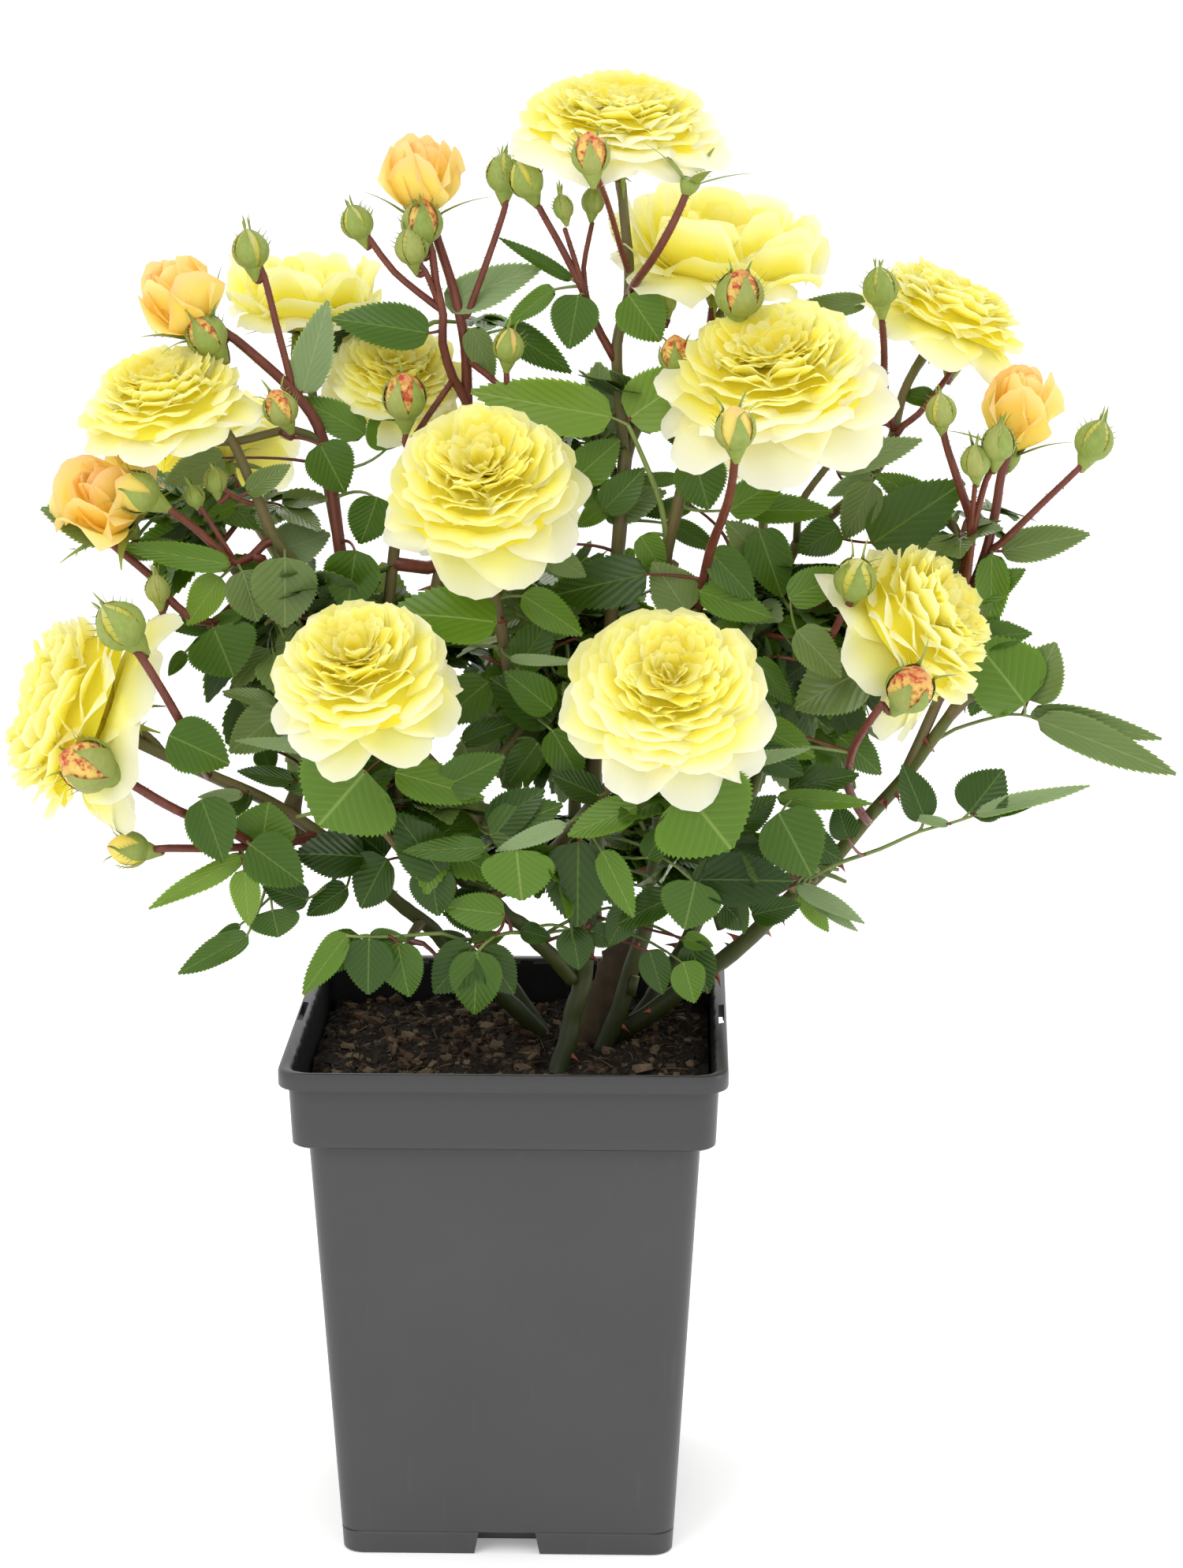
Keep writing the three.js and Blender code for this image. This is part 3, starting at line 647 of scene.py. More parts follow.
def sepals(origin, axis, ref, length, open_angle, width=6.5, mat=SEPAL, droop=0.3, r0=3.2, fringe=True):
    """Five sepals with long leafy tips round a flower's foot."""
    a = unit(axis)
    e1 = unit(np.asarray(ref) - a * np.dot(ref, a))
    e2 = np.cross(a, e1)
    for k in range(5):
        phi = k * 2 * math.pi / 5 + rng.normal() * 0.12
        rad = e1 * math.cos(phi) + e2 * math.sin(phi)
        tan = -e1 * math.sin(phi) + e2 * math.cos(phi)
        L = length * (0.85 + 0.3 * rng.random())
        ang = open_angle + rng.normal() * 0.15
        d0 = unit(rad * math.sin(ang * 0.7) + a * math.cos(ang * 0.7))
        d1 = unit(rad * math.sin(ang) + a * math.cos(ang))
        p0 = origin + rad * r0
        p1 = p0 + d0 * L * 0.5
        p2 = p1 + d1 * L * 0.5 - a * droop * L * 0.2
        n = 8
        path = bezier(p0, p1, p2, n)
        tt = np.gradient(path, axis=0)
        tt /= np.linalg.norm(tt, axis=1)[:, None]
        s = np.linspace(0, 1, n)
        w = width * 0.5 * np.where(s < 0.25, 0.75 + s, (1 - (s - 0.25) / 0.75) ** 1.3 * 0.9 + 0.09)
        nn = np.cross(tt, tan)
        V = np.stack([path - tan * w[:, None] - nn * 0.25 * w[:, None], path, path + tan * w[:, None] - nn * 0.25 * w[:, None]], 1).reshape(-1, 3)
        uv = np.stack([np.tile([0.1, 0.5, 0.9], n), np.repeat(s, 3)], 1)
        calyxes.add(V, grid_quads(n, 3), mat=mat, uv=uv)
        if fringe and k % 2 == 0:
            for j in (3, 4, 5):
                for sgn in (-1, 1):
                    b0 = path[j] + tan * sgn * w[j]
                    d = unit(tan * sgn + tt[j] * 0.8)
                    side = unit(np.cross(d, nn[j]))
                    V = np.array([b0 - side * 0.5, b0 + side * 0.5, b0 + d * (2.5 + 2.5 * rng.random())])
                    calyxes.add(V, tris=np.array([[0, 1, 2]]), mat=mat)


def hip(origin, axis, r=4.2, h=7.5, mat=0):
    """The swollen cup under a flower."""
    a = unit(axis)
    ref = np.array([0, 0, 1.0]) if abs(a[2]) < 0.8 else np.array([1.0, 0, 0])
    e1 = unit(np.cross(a, ref))
    e2 = np.cross(a, e1)
    prof = [(0.34, -1.0), (0.58, -0.80), (0.86, -0.50), (1.0, -0.22), (1.0, 0.02), (0.8, 0.10)]
    sides = 10
    ang = np.linspace(0, 2 * math.pi, sides, endpoint=False)
    V = np.concatenate([origin + a * h * z + r * q * (np.cos(ang)[:, None] * e1 + np.sin(ang)[:, None] * e2) for q, z in prof])
    calyxes.add(V, grid_quads(len(prof), sides, wrap=True), mat=mat)


def rosette(origin, axis, width, depth=30.0, spin=0.0, pale=0, nheart=52, nmid=44, nouter=20, nguard=9, droop=16.0):
    """A full, quartered flower. origin is its foot, depth the height of its face above it."""
    a = unit(axis)
    ref = np.array([0, 0, 1.0]) if abs(a[2]) < 0.9 else np.array([0, -1.0, 0])
    k = width / 92.0
    D = depth
    gold = 2.39996
    quarter = rng.random() * 6.28
    sheaves = 4 + int(rng.random() * 2)
    # the base of the inner petals: a low dome under the heart
    e1 = unit(ref - a * np.dot(ref, a))
    e2 = np.cross(a, e1)
    ang = np.linspace(0, 2 * math.pi, 22, endpoint=False)
    rings = []
    for rr, hh in ((0.6, 0.60), (7, 0.64), (14, 0.68), (20, 0.65), (25, 0.54), (29, 0.38), (33, 0.18)):
        wob = 1 + 0.05 * np.sin(5 * ang + quarter)
        rings.append(origin + a * D * hh + rr * k * wob[:, None] * (np.cos(ang)[:, None] * e1 + np.sin(ang)[:, None] * e2))
    uvd = np.concatenate([np.stack([np.linspace(0.3, 0.7, 22), np.full(22, 0.5)], 1)] * 7)
    petals.add(np.concatenate(rings), grid_quads(7, 22, wrap=True), mat=HEART, uv=uvd)
    # heart: short upright petals packed in sheaves
    for i in range(nheart):
        f = (i + 0.5) / nheart
        q = i % sheaves
        spread = 0.70 if f < 0.35 else 0.55
        az = quarter + q * 2 * math.pi / sheaves + rng.normal() * spread + spin
        R = (2.0 + 20.0 * f ** 0.72 + rng.normal() * 1.1) * k
        H = D * (0.80 + 0.19 * f ** 0.8 + rng.normal() * 0.035)
        petal(petals, origin, a, ref, az, max(1.2, R), H, R * 0.45 + 0.5 * k, H * 0.66, (9.5 + 12 * f + rng.normal() * 2.0) * k,
              HEART if rng.random() < 0.62 else LEMON, rows=6, cols=7, cup=0.70 - 0.35 * f + rng.normal() * 0.2, roll=0.12, ripple=1.1 * k, notch=0.06,
              r0=0.8, h0=D * 0.50, lean=rng.normal() * 0.55, tipcurl=0.5 + 0.9 * rng.random())
    for i in range(nmid):
        f = (i + 0.5) / nmid
        az = i * gold + spin + rng.normal() * 0.16
        R = (19.0 + 15.0 * f + rng.normal() * 1.0) * k
        H = D * (0.99 - 0.30 * f ** 1.4 + rng.normal() * 0.022)
        petal(petals, origin, a, ref, az, R, H, R * (0.70 - 0.06 * f), H * (0.46 + 0.06 * f), (17 + 11 * f + rng.normal() * 2.0) * k,
              LEMON if rng.random() < 0.72 else (HEART if f < 0.45 else PALE), rows=7, cols=8, cup=0.34 - 0.12 * f, roll=0.20, ripple=1.1 * k,
              notch=0.04, r0=2.0, h0=D * 0.34, lean=rng.normal() * 0.26, tipcurl=0.6 + 0.8 * rng.random())
    for i in range(nouter):
        f = (i + 0.5) / nouter
        az = i * gold + spin + 0.7 + rng.normal() * 0.16
        R = (34.0 + 7.5 * f + rng.normal() * 1.2) * k
        H = D * (0.68 - 0.42 * f + rng.normal() * 0.035)
        petal(petals, origin, a, ref, az, R, H, R * 0.64, H * 0.50 + 4 * k, (27 + 8 * f + rng.normal() * 2) * k,
              (PALE if pale < 2 else CREAM) if rng.random() < 0.35 + 0.4 * f else LEMON, rows=8, cols=8, cup=0.15, roll=0.22, ripple=1.5 * k,
              notch=0.03, r0=2.6, h0=0.0, lean=rng.normal() * 0.16, tipcurl=0.7 + 0.7 * rng.random(), point=0.02)
    for i in range(nguard):
        az = i * 2 * math.pi / nguard + spin + rng.normal() * 0.20
        # petals on the lower side hang further down
        dirn = math.cos(az) * unit(ref - a * np.dot(ref, a)) + math.sin(az) * np.cross(a, unit(ref - a * np.dot(ref, a)))
        low = max(0.0, -dirn[2]) * math.sqrt(max(0.0, 1 - a[2] ** 2)) * 1.4
        R = (42.0 + 3.5 * rng.random() - 5.0 * low) * k
        H = (-droop * (0.15 + 0.5 * rng.random()) - droop * 0.9 * low) * k
        petal(petals, origin, a, ref, az, R, H, R * 0.62, (10 + 3 * low) * k, (36 + 7 * rng.random()) * k,
              CREAM if (pale and rng.random() < 0.35) or pale > 1 else PALE, rows=11, cols=11, cup=0.05, roll=0.20, ripple=2.2 * k,
              notch=0.02, r0=3.0, h0=-1.0, lean=rng.normal() * 0.12, tipcurl=0.3 + 0.5 * rng.random(), point=0.035)
    hip(origin - a * 1.5, a, 4.4 * k, 8 * k)
    sepals(origin - a * 1.0, a, ref, 25 * k, 2.3, 6.0 * k, droop=0.6)


def cup_flower(origin, axis, width, height, spin=0.0, flare=1.0, pale=1):
    """A half-open flower: a bowl of broad upright petals with wavy, flaring edges."""
    a = unit(axis)
    ref = np.array([0, 0, 1.0]) if abs(a[2]) < 0.9 else np.array([0, -1.0, 0])
    R0 = width / 2
    layers = ((6, 1.00, 0.62, 1.05), (6, 0.90, 0.92, 1.00), (6, 0.76, 1.00, 0.85), (7, 0.60, 0.97, 0.66), (8, 0.46, 0.90, 0.50), (9, 0.30, 0.84, 0.36))
    for li, (n, fr, fh, wide) in enumerate(layers):
        for i in range(n):
            az = i * 2 * math.pi / n + li * 0.9 + spin + rng.normal() * 0.14
            R = R0 * fr * (1 + rng.normal() * 0.06)
            H = height * fh * (1 + rng.normal() * 0.06)
            mat = (PALE if pale and rng.random() < 0.5 else LEMON) if li < 2 else (LEMON if li < 4 else HEART)
            petal(petals, origin, a, ref, az, R, H, R * (0.72 if li < 3 else 0.85), H * (0.10 if li else 0.30), R0 * wide, mat, rows=10, cols=9, cup=0.22, roll=0.18,
                  ripple=2.2 if li < 3 else 1.2, notch=0.06, r0=2.5, h0=0, lean=rng.normal() * 0.15, tipcurl=flare * (0.3 + 1.0 * rng.random()), point=0.05)
    for i in range(4):
        az = i * math.pi / 2 + spin + 0.5 + rng.normal() * 0.2
        petal(petals, origin, a, ref, az, R0 * 1.02, height * (0.10 + 0.22 * rng.random()), R0 * 0.62, height * 0.42, R0 * 0.95,
              CREAM if i % 2 else PALE, rows=10, cols=9, cup=0.10, roll=0.30, ripple=2.0, notch=0.02, r0=2.5, h0=0, lean=rng.normal() * 0.12,
              tipcurl=1.0 + 0.8 * rng.random(), point=0.06)
    hip(origin - a * 1.5, a, 4.4, 8)
    sepals(origin - a * 1.0, a, ref, 24, 1.9, 6.0, droop=0.6)


def opening_bud(origin, axis, length=34.0, width=27.0, open_=0.5, mats=(APRICOT, AMBER), spin=0.0):
    """A bud whose petals are still wrapped round each other."""
    a = unit(axis)
    ref = np.array([0, 0, 1.0]) if abs(a[2]) < 0.9 else np.array([0, -1.0, 0])
    for li, (n, fr, fh) in enumerate(((3, 0.20, 0.97), (3, 0.34, 1.0), (3, 0.50, 1.0), (3, 0.68, 0.98), (4, 0.90, 0.93 - 0.12 * open_))):
        for i in range(n):
            az = i * 2 * math.pi / n + li * 1.1 + spin + rng.normal() * 0.12
            R = width / 2 * fr * (0.66 + 0.46 * open_ * (li / 4.0) ** 1.5)
            H = length * fh * (1 + rng.normal() * 0.022)
            petal(calyxes, origin, a, ref, az, R, H, width / 2 * (0.46 + 0.66 * fr), H * 0.36, width * (0.60 + 0.52 * fr), 3 + mats[1 if rng.random() < 0.45 else 0],
                  rows=10, cols=10, cup=0.80 - 0.11 * li, roll=0.12 + 0.26 * (li > 2) * open_, ripple=0.35, notch=-0.02, r0=2.0, h0=0, lean=0.34,
                  tipcurl=0.2 + (0.9 + 1.6 * rng.random()) * open_ * (li > 2), point=0.05 * (li > 2))
    hip(origin - a * 1.5, a, 4.6, 8.5)
    sepals(origin - a * 1.0, a, ref, 31, 0.85 + 0.6 * open_, 7.5, droop=0.30)


def closed_bud(origin, axis, length=20.0, width=15.0, colour=LEMON, slit=0.22, tips=9.0, spin=0.0):
    """A closed bud: five sepals wrapped over the folded petals, which show between them."""
    a = unit(axis)
    ref = np.array([0, 0, 1.0]) if abs(a[2]) < 0.9 else np.array([0, -1.0, 0])
    e1 = unit(ref - a * np.dot(ref, a))
    e2 = np.cross(a, e1)
    wide = max(0.0, slit - 0.20)                 # the further open, the more petal shows
    prof = np.array([(0.50, 0.0), (0.80, 0.13), (0.97, 0.30), (1.0, 0.46), (0.90, 0.64), (0.66, 0.81), (0.32, 0.94), (0.04, 1.0)])
    sides = 15
    ang = np.linspace(0, 2 * math.pi, sides, endpoint=False)
    R = width / 2
    folds = 1 + 0.035 * np.cos(5 * ang + 1.0)
    core = np.concatenate([origin + a * length * z + (R * 0.95 * q * folds * (1 - 0.06 * (z > 0.9)))[:, None] * (np.cos(ang + z * 1.4)[:, None] * e1 + np.sin(ang + z * 1.4)[:, None] * e2)
                           for q, z in prof])
    uv = np.concatenate([np.stack([np.linspace(0, 1, sides), np.full(sides, z * 0.95)], 1) for q, z in prof])
    calyxes.add(core, grid_quads(len(prof), sides, wrap=True), mat=3 + colour, uv=uv)
    top = 0.97 - 1.15 * wide
    zz = np.linspace(0.0, top, 9)
    rr = np.interp(zz, prof[:, 1], prof[:, 0]) * R
    for k in range(5):
        phi0 = k * 2 * math.pi / 5 + spin + rng.normal() * 0.07
        n = len(zz) + 3
        s = np.linspace(0, 1, n)
        up = np.clip((zz / top - 0.16) / 0.84, 0, 1)
        half = (math.pi / 5) * (1.05 - (slit * 1.9 + 0.16 + 0.10 * rng.random()) * up ** 1.1)
        half = np.maximum(half, 0.10)
        rows = []
        o0 = math.cos(phi0) * e1 + math.sin(phi0) * e2
        tn0 = -math.sin(phi0) * e1 + math.cos(phi0) * e2
        out = 0.05 + 0.40 * rng.random() + 5.5 * wide * (0.6 + rng.random())
        side = rng.normal() * 0.22
        for j in range(len(zz)):
            c = origin + a * length * zz[j]
            rows.append([c + (rr[j] * (1.0 + 0.05 * (1 - tt * tt)) + 0.25 + (0.6 + 9 * wide) * 0.25 * (zz[j] / top) ** 4 * R * 0.2) * (math.cos(phi0 + half[j] * tt) * e1 + math.sin(phi0 + half[j] * tt) * e2)
                         for tt in (-1, -0.5, 0, 0.5, 1)])
        end = np.array(rows[-1][2])
        tl = tips * (0.7 + 0.6 * rng.random()) * (1 + 1.5 * wide)
        for m, (f, w) in enumerate(((0.30, 0.62), (0.68, 0.50), (1.0, 0.08))):
            c = end + a * tl * f * (1 - 1.2 * wide) + o0 * (tl * out * f * f) + tn0 * side * tl * f - o0 * 0.5 * f * (1 - min(1, 6 * wide))
            rows.append([c + tn0 * w * tt for tt in (-1, -0.5, 0, 0.5, 1)])
        half = np.append(half, [0.3, 0.3, 0.1])
        V = np.array(rows).reshape(-1, 3)
        uvs = np.stack([np.tile([0.05, 0.3, 0.5, 0.7, 0.95], n), np.repeat(s, 5)], 1)
        calyxes.add(V, grid_quads(n, 5), mat=SEPAL if rng.random() < 0.7 else FLUSH, uv=uvs)
        # side filaments
        if k in (0, 2, 3):
            for j in (4, 5, 6, 7):
                for sgn in (-1, 1):
                    ph = phi0 + half[j] * sgn
                    o = math.cos(ph) * e1 + math.sin(ph) * e2
                    tn = (-math.sin(ph) * e1 + math.cos(ph) * e2) * sgn
                    b0 = origin + a * length * zz[j] + (rr[j] + 0.3) * o
                    d = unit(tn * 0.5 + o * 0.8 + a * 0.9)
                    Vt = np.array([b0 - a * 0.32, b0 + a * 0.32, b0 + d * (2.0 + 3.0 * rng.random()) * (width / 16)])
                    calyxes.add(Vt, tris=np.array([[0, 1, 2]]), mat=SEPAL)
    # the funnel of the hip runs on into the stalk
    prof = [(0.36, -1.0), (0.50, -0.76), (0.76, -0.44), (0.98, -0.14), (1.06, 0.06)]
    ang = np.linspace(0, 2 * math.pi, 12, endpoint=False)
    V = np.concatenate([origin + a * R * 0.86 * z + R * 0.53 * q * (np.cos(ang)[:, None] * e1 + np.sin(ang)[:, None] * e2) for q, z in prof])
    calyxes.add(V, grid_quads(len(prof), 12, wrap=True), mat=SEPAL)


# ------------------------------------------------------------------ the plant's skeleton
skeleton = []          # (points, radius) of everything a leaf may grow from


def nearest(p, stout=0.0, inward=False):
    """The closest point of the skeleton to p, with its radius. `stout` leaves out thinner limbs;
    `inward` prefers limbs further down and further into the plant."""
    best, bp, br = 1e9, None, 1.0
    for path, r in skeleton:
        d = np.linalg.norm(path - p, axis=1)
        cost = d + 1e6 * (r < stout)
        if inward:
            cost = cost + 0.8 * np.maximum(0, path[:, 2] - p[2]) + 1.6 * np.maximum(0, p[1] - path[:, 1])
        i = int(np.argmin(cost))
        if cost[i] < best:
            best, bp, br = cost[i], path[i], r[i]
            gap = d[i]
    return gap, bp, br


def limb(points, r0, r1, mat, lumps=0.04, sides=10, thorns=0, hairs=0.0, step=6.0, power=1.0, hair_len=1.35, is_px=True, keep=True, endmat=None, bulge=0.6):
    pts = [at(*p) for p in points] if is_px else [np.asarray(p, float) for p in points]
    if is_px and keep and skeleton:
        dist, s, r = nearest(pts[0])
        if 0.6 * r < dist < 75:
            pts = [s] + pts                      # springs from the nearest limb
    if is_px and mat in (RED, OLIVE) and r0 < 2.8:
        r0, r1 = r0 * 1.22, r1 * 1.22
    path = smooth_path(pts, step)
    k = len(path)
    u = np.linspace(0, 1, k)
    r = r0 + (r1 - r0) * u ** power
    tube(canes, path, r0, r1, sides, mat, lumps=lumps, radii=r, endmat=endmat, top_cap_bulge=bulge)
    if keep:
        skeleton.append((path, r))
    t, n, b = frames(path)
    for _ in range(thorns):
        i = rng.integers(2, k - 2)
        a = rng.random() * 2 * math.pi
        d = math.cos(a) * n[i] + math.sin(a) * b[i]
        spike(canes, path[i] + d * r[i] * 0.85, d, 5.0 + 2.5 * rng.random(), 1.6, THORN, bend=-0.25 * t[i])
    if hairs:
        bristles(path, r, hairs, hair_len, mat=RED)
    return path, t


def stalk_to(path_from, target, axis, r0, r1, mat, hairs=0.0, sides=8, back=14.0):
    """Carries a stalk from a point to a flower's foot, arriving along its axis."""
    a = unit(axis)
    p0 = np.asarray(path_from, float)
    L = np.linalg.norm(target - p0)
    c = target - a * min(back, L * 0.5)
    path = smooth_path([p0, 0.5 * (p0 + c) + a * 0.0, c, target], 5.0) if L > 3 * back else bezier(p0, c, target, max(5, int(L / 5)))
    r = np.linspace(r0, r1, len(path))
    tube(canes, path, r0, r1, sides, mat, lumps=0.02, radii=r)
    if hairs:
        bristles(path, r, hairs)
    skeleton.append((path, r))
    return path

# ------------------------------------------------------------------ canes, as sizes in millimetres
FOOT = 212.5


def arc(a, b, bow, n=24):
    """A limb that springs from a, is bowed at its middle and ends at b."""
    a, b, bow = (np.asarray(p, float) for p in (a, b, bow))
    return bezier(a, (a + b) / 2 + 2 * bow, b, n)


def lumpy(path, amount=0.7):
    """A slight zigzag from bud to bud, as a cane grows."""
    t, n, b = frames(path)
    u = np.linspace(0, 1, len(path))
    k = 2 * math.pi * (len(path) / 7.0)
    ends = np.sin(math.pi * u)
    return path + amount * ends[:, None] * (np.sin(k * u)[:, None] * n + np.cos(0.7 * k * u)[:, None] * b)


CANES = [
    ("cane_right_arch", (36, 22, FOOT), (200, -14, 383), (8, 1, -10), 9.5, 5.2, GREENCANE, 16),
    ("cane_front", (21, -26, FOOT), (40, -20, 330), (5, 8, 0), 9.5, 6.8, GREENCANE, 5),
    ("bough_left_front", (29, -17, 258), (-32, -52, 322), (1, 1, 4), 7.1, 5.7, GREENCANE, 3),
    ("cane_right", (40, 8, FOOT), (66, 4, 380), (12, 4, 0), 8.6, 5.7, GREENCANE, 6),
    ("cane_left", (17, 31, FOOT), (-75, -10, 312), (0, 2, 3), 8.6, 5.7, GREENCANE, 5),
    ("cane_back_left", (14, 44, FOOT), (-70, 96, 350), (-2, 2, -8), 8.6, 5.9, GREENCANE, 5),
    ("cane_back_right", (52, 46, FOOT), (118, 96, 340), (4, 2, -8), 8.6, 5.9, GREENCANE, 5),
    ("cane_back", (30, 52, FOOT), (26, 108, 352), (0, 8, -4), 8.1, 5.9, GREENCANE, 5),
]
for name, a, b, bow, d0, d1, mat, thorns in CANES:
    path = lumpy(arc(a, b, bow, 40))
    k = len(path)
    r = np.linspace(d0 / 2, d1 / 2, k) * (1 + 0.05 * np.cos(np.arange(k) * 2 * math.pi / 7.0) ** 8)
    tube(canes, path, 0, 0, 14, mat, lumps=0.035, radii=r)
    skeleton.append((path, r))
    t, n, bb = frames(path)
    for _ in range(thorns):
        i = rng.integers(4, k - 3)
        w = rng.random() * 2 * math.pi
        d = math.cos(w) * n[i] + math.sin(w) * bb[i]
        spike(canes, path[i] + d * r[i] * 0.85, d, 4.5 + 2.5 * rng.random(), 1.7, THORN, bend=-0.30 * t[i])
# the stump of old wood, pruned flat
path = arc((34, 26, FOOT), (57, 30, 267), (-1, 0, 1), 18)
tube(canes, path, 0, 0, 18, OLDCANE, lumps=0.10, radii=np.linspace(10, 8, 18) * (1 + 0.08 * rng.standard_normal(18)), endmat=CUTWOOD, top_cap_bulge=0.05)
for u0, v0, u1, v1, y in ((800, 1262, 806, 1238, 6), (915, 1178, 908, 1160, 14)):
    limb([(u0, v0, y), (u1, v1, y)], 2.4, 2.0, GREENCANE, keep=False, endmat=CUTWOOD, bulge=0.05, step=4)

# boughs running on from the canes into the crown
def onward(i, target, r1=1.9, bow=(0, 0, 6), mat=OLIVE, thorns=2):
    """Carries a cane's end on to a target."""
    path0, r0 = skeleton[i]
    p = path0[-1]
    tdir = unit(path0[-1] - path0[-4])
    target = np.asarray(target, float)
    L = np.linalg.norm(target - p)
    path = smooth_path([p - tdir * 2, p + tdir * L * 0.25 + np.asarray(bow) * 0.3, 0.45 * p + 0.55 * target + np.asarray(bow), target], 6.0)
    r = np.linspace(r0[-1], r1, len(path))
    tube(canes, path, 0, 0, 10, mat, lumps=0.03, radii=r)
    skeleton.append((path, r))
    t, n, b = frames(path)
    for _ in range(thorns):
        j = rng.integers(2, len(path) - 2)
        w = rng.random() * 2 * math.pi
        d = math.cos(w) * n[j] + math.sin(w) * b[j]
        spike(canes, path[j] + d * r[j] * 0.85, d, 4 + 2 * rng.random(), 1.3, THORN, bend=-0.30 * t[j])
    return path


onward(1, (52, 4, 500), 2.9)            # front cane to the foot of the top stem
onward(3, (100, 8, 455), 2.6)           # right cane to the right stems
onward(3, (74, -2, 450), 2.9)
onward(2, (-60, -60, 390), 2.0)
onward(2, (14, -36, 390), 1.7)
onward(4, (-95, 6, 440), 2.6)
onward(4, (-52, 8, 460), 2.6)
onward(4, (-74, -28, 352), 2.2)
onward(5, (-140, 108, 470), 2.2)
onward(5, (-88, 84, 408), 1.7)
onward(6, (180, 112, 395), 2.2)
onward(6, (118, 122, 480), 2.2)
onward(7, (-8, 148, 440), 2.2)
onward(7, (70, 170, 365), 2.0)
onward(7, (34, 100, 425), 1.8)
onward(0, (214, 2, 446), 2.2, bow=(4, 0, 0), thorns=3)
onward(0, (226, -6, 395), 1.8, bow=(2, 0, 2), thorns=1)

# ------------------------------------------------------------------ flowering stems, followed point by point
L1 = limb([(782, 720, 6), (790, 640, 8), (790, 560, 8), (782, 460, 6), (785, 420, 6), (797, 375, 4), (797, 330, 2), (793, 290, 0), (788, 232, 0)], 2.9, 2.2, OLIVE, thorns=3, hairs=0.5)[0]
limb([(782, 460, 6), (755, 410, 4), (742, 375, 0), (715, 320, -6), (683, 262, -10)], 1.7, 1.2, RED, hairs=1.5)
limb([(742, 375, 0), (732, 340, -4), (716, 290, -8)], 1.1, 0.9, RED, hairs=1.5)
limb([(745, 380, 0), (740, 340, 2), (751, 282, 4)], 1.1, 0.9, RED, hairs=1.5)
limb([(797, 345, 2), (788, 318, -8), (772, 262, -30), (758, 226, -50)], 1.2, 1.0, RED, hairs=1.5)
limb([(797, 375, 4), (806, 358, -8), (830, 325, -26), (855, 280, -34), (871, 244, -36)], 1.7, 1.4, RED, hairs=1.6)
SPENT = at(876, 229, -36)
limb([(790, 640, 8), (800, 560, 12), (850, 480, 18), (900, 420, 24), (925, 380, 28)], 2.3, 1.9, OLIVE, hairs=0.6)
limb([(850, 480, 18), (855, 462, 10)], 0.9, 0.8, RED)
# left centre pair
limb([(560, 715, 14), (585, 640, 14), (592, 560, 14), (592, 490, 12), (590, 440, 10), (583, 400, 8), (570, 350, 8), (555, 305, 8), (546, 270, 8)], 2.6, 1.6, RED, thorns=1, hairs=1.4)
limb([(592, 560, 14), (593, 513, 12), (575, 481, 8), (561, 435, 4), (562, 400, 2), (553, 360, 0), (548, 320, -2), (541, 302, -2)], 2.0, 1.3, RED, hairs=1.6)
limb([(558, 390, 2), (540, 345, -4), (525, 328, -6)], 1.2, 1.0, RED, hairs=1.5)
limb([(553, 388, 2), (500, 345, -2), (470, 305, -4), (460, 295, -4)], 1.5, 1.1, RED, hairs=1.2)
limb([(592, 400, 8), (600, 380, 6), (625, 310, 2), (641, 260, 0), (640, 238, 0)], 1.4, 1.1, RED, hairs=1.6)
# left
limb([(440, 790, 4), (430, 690, 6), (410, 560, 6), (375, 500, 4), (310, 440, 0), (290, 425, -4), (262, 404, -6)], 2.7, 1.7, RED, hairs=1.0)
limb([(370, 490, 4), (350, 410, 2), (335, 350, 0), (325, 332, 0)], 1.5, 1.2, RED, hairs=1.2)
limb([(430, 690, 6), (420, 640, 30), (400, 520, 44), (390, 470, 48), (385, 430, 50)], 2.0, 1.7, OLIVE, hairs=0.5)
limb([(405, 560, 6), (370, 545, 0), (300, 560, -10), (260, 560, -16)], 1.8, 1.5, OLIVE)
limb([(430, 760, 0), (360, 700, -6), (330, 640, -10), (300, 570, -12), (285, 545, -14)], 2.5, 1.9, OLIVE, hairs=0.6)
limb([(325, 640, -10), (300, 632, -14), (282, 618, -18)], 1.0, 0.9, RED, hairs=1.0)
limb([(335, 690, -8), (300, 715, -16), (250, 672, -24), (212, 645, -30), (190, 634, -34)], 1.8, 1.3, RED, hairs=1.2)
limb([(300, 715, -16), (278, 680, -20), (252, 640, -22)], 1.0, 0.8, RED, hairs=1.0)
limb([(335, 720, -8), (270, 790, -14), (225, 770, -18), (191, 731, -20), (150, 697, -20), (142, 690, -20)], 1.9, 1.4, RED, hairs=1.2)
# far left
limb([(440, 1085, -30), (397, 1052, -30), (335, 1014, -32), (263, 982, -36), (175, 942, -40), (150, 925, -40)], 2.6, 2.1, OLIVE, thorns=1, hairs=1.0)
limb([(263, 982, -38), (240, 945, -64), (227, 913, -80), (190, 850, -86), (172, 824, -86)], 1.9, 1.5, RED, hairs=1.5)
limb([(397, 1060, -32), (335, 1073, -42), (297, 1057, -50), (225, 1028, -66), (163, 992, -80)], 1.9, 1.7, RED, hairs=1.6)
limb([(335, 1073, -42), (270, 1076, -52), (215, 1076, -60), (196, 1077, -60)], 1.6, 1.4, RED, hairs=1.0)
limb([(440, 1010, -24), (436, 930, -14), (430, 850, -6), (440, 790, 4)], 2.6, 2.5, OLIVE, thorns=2)
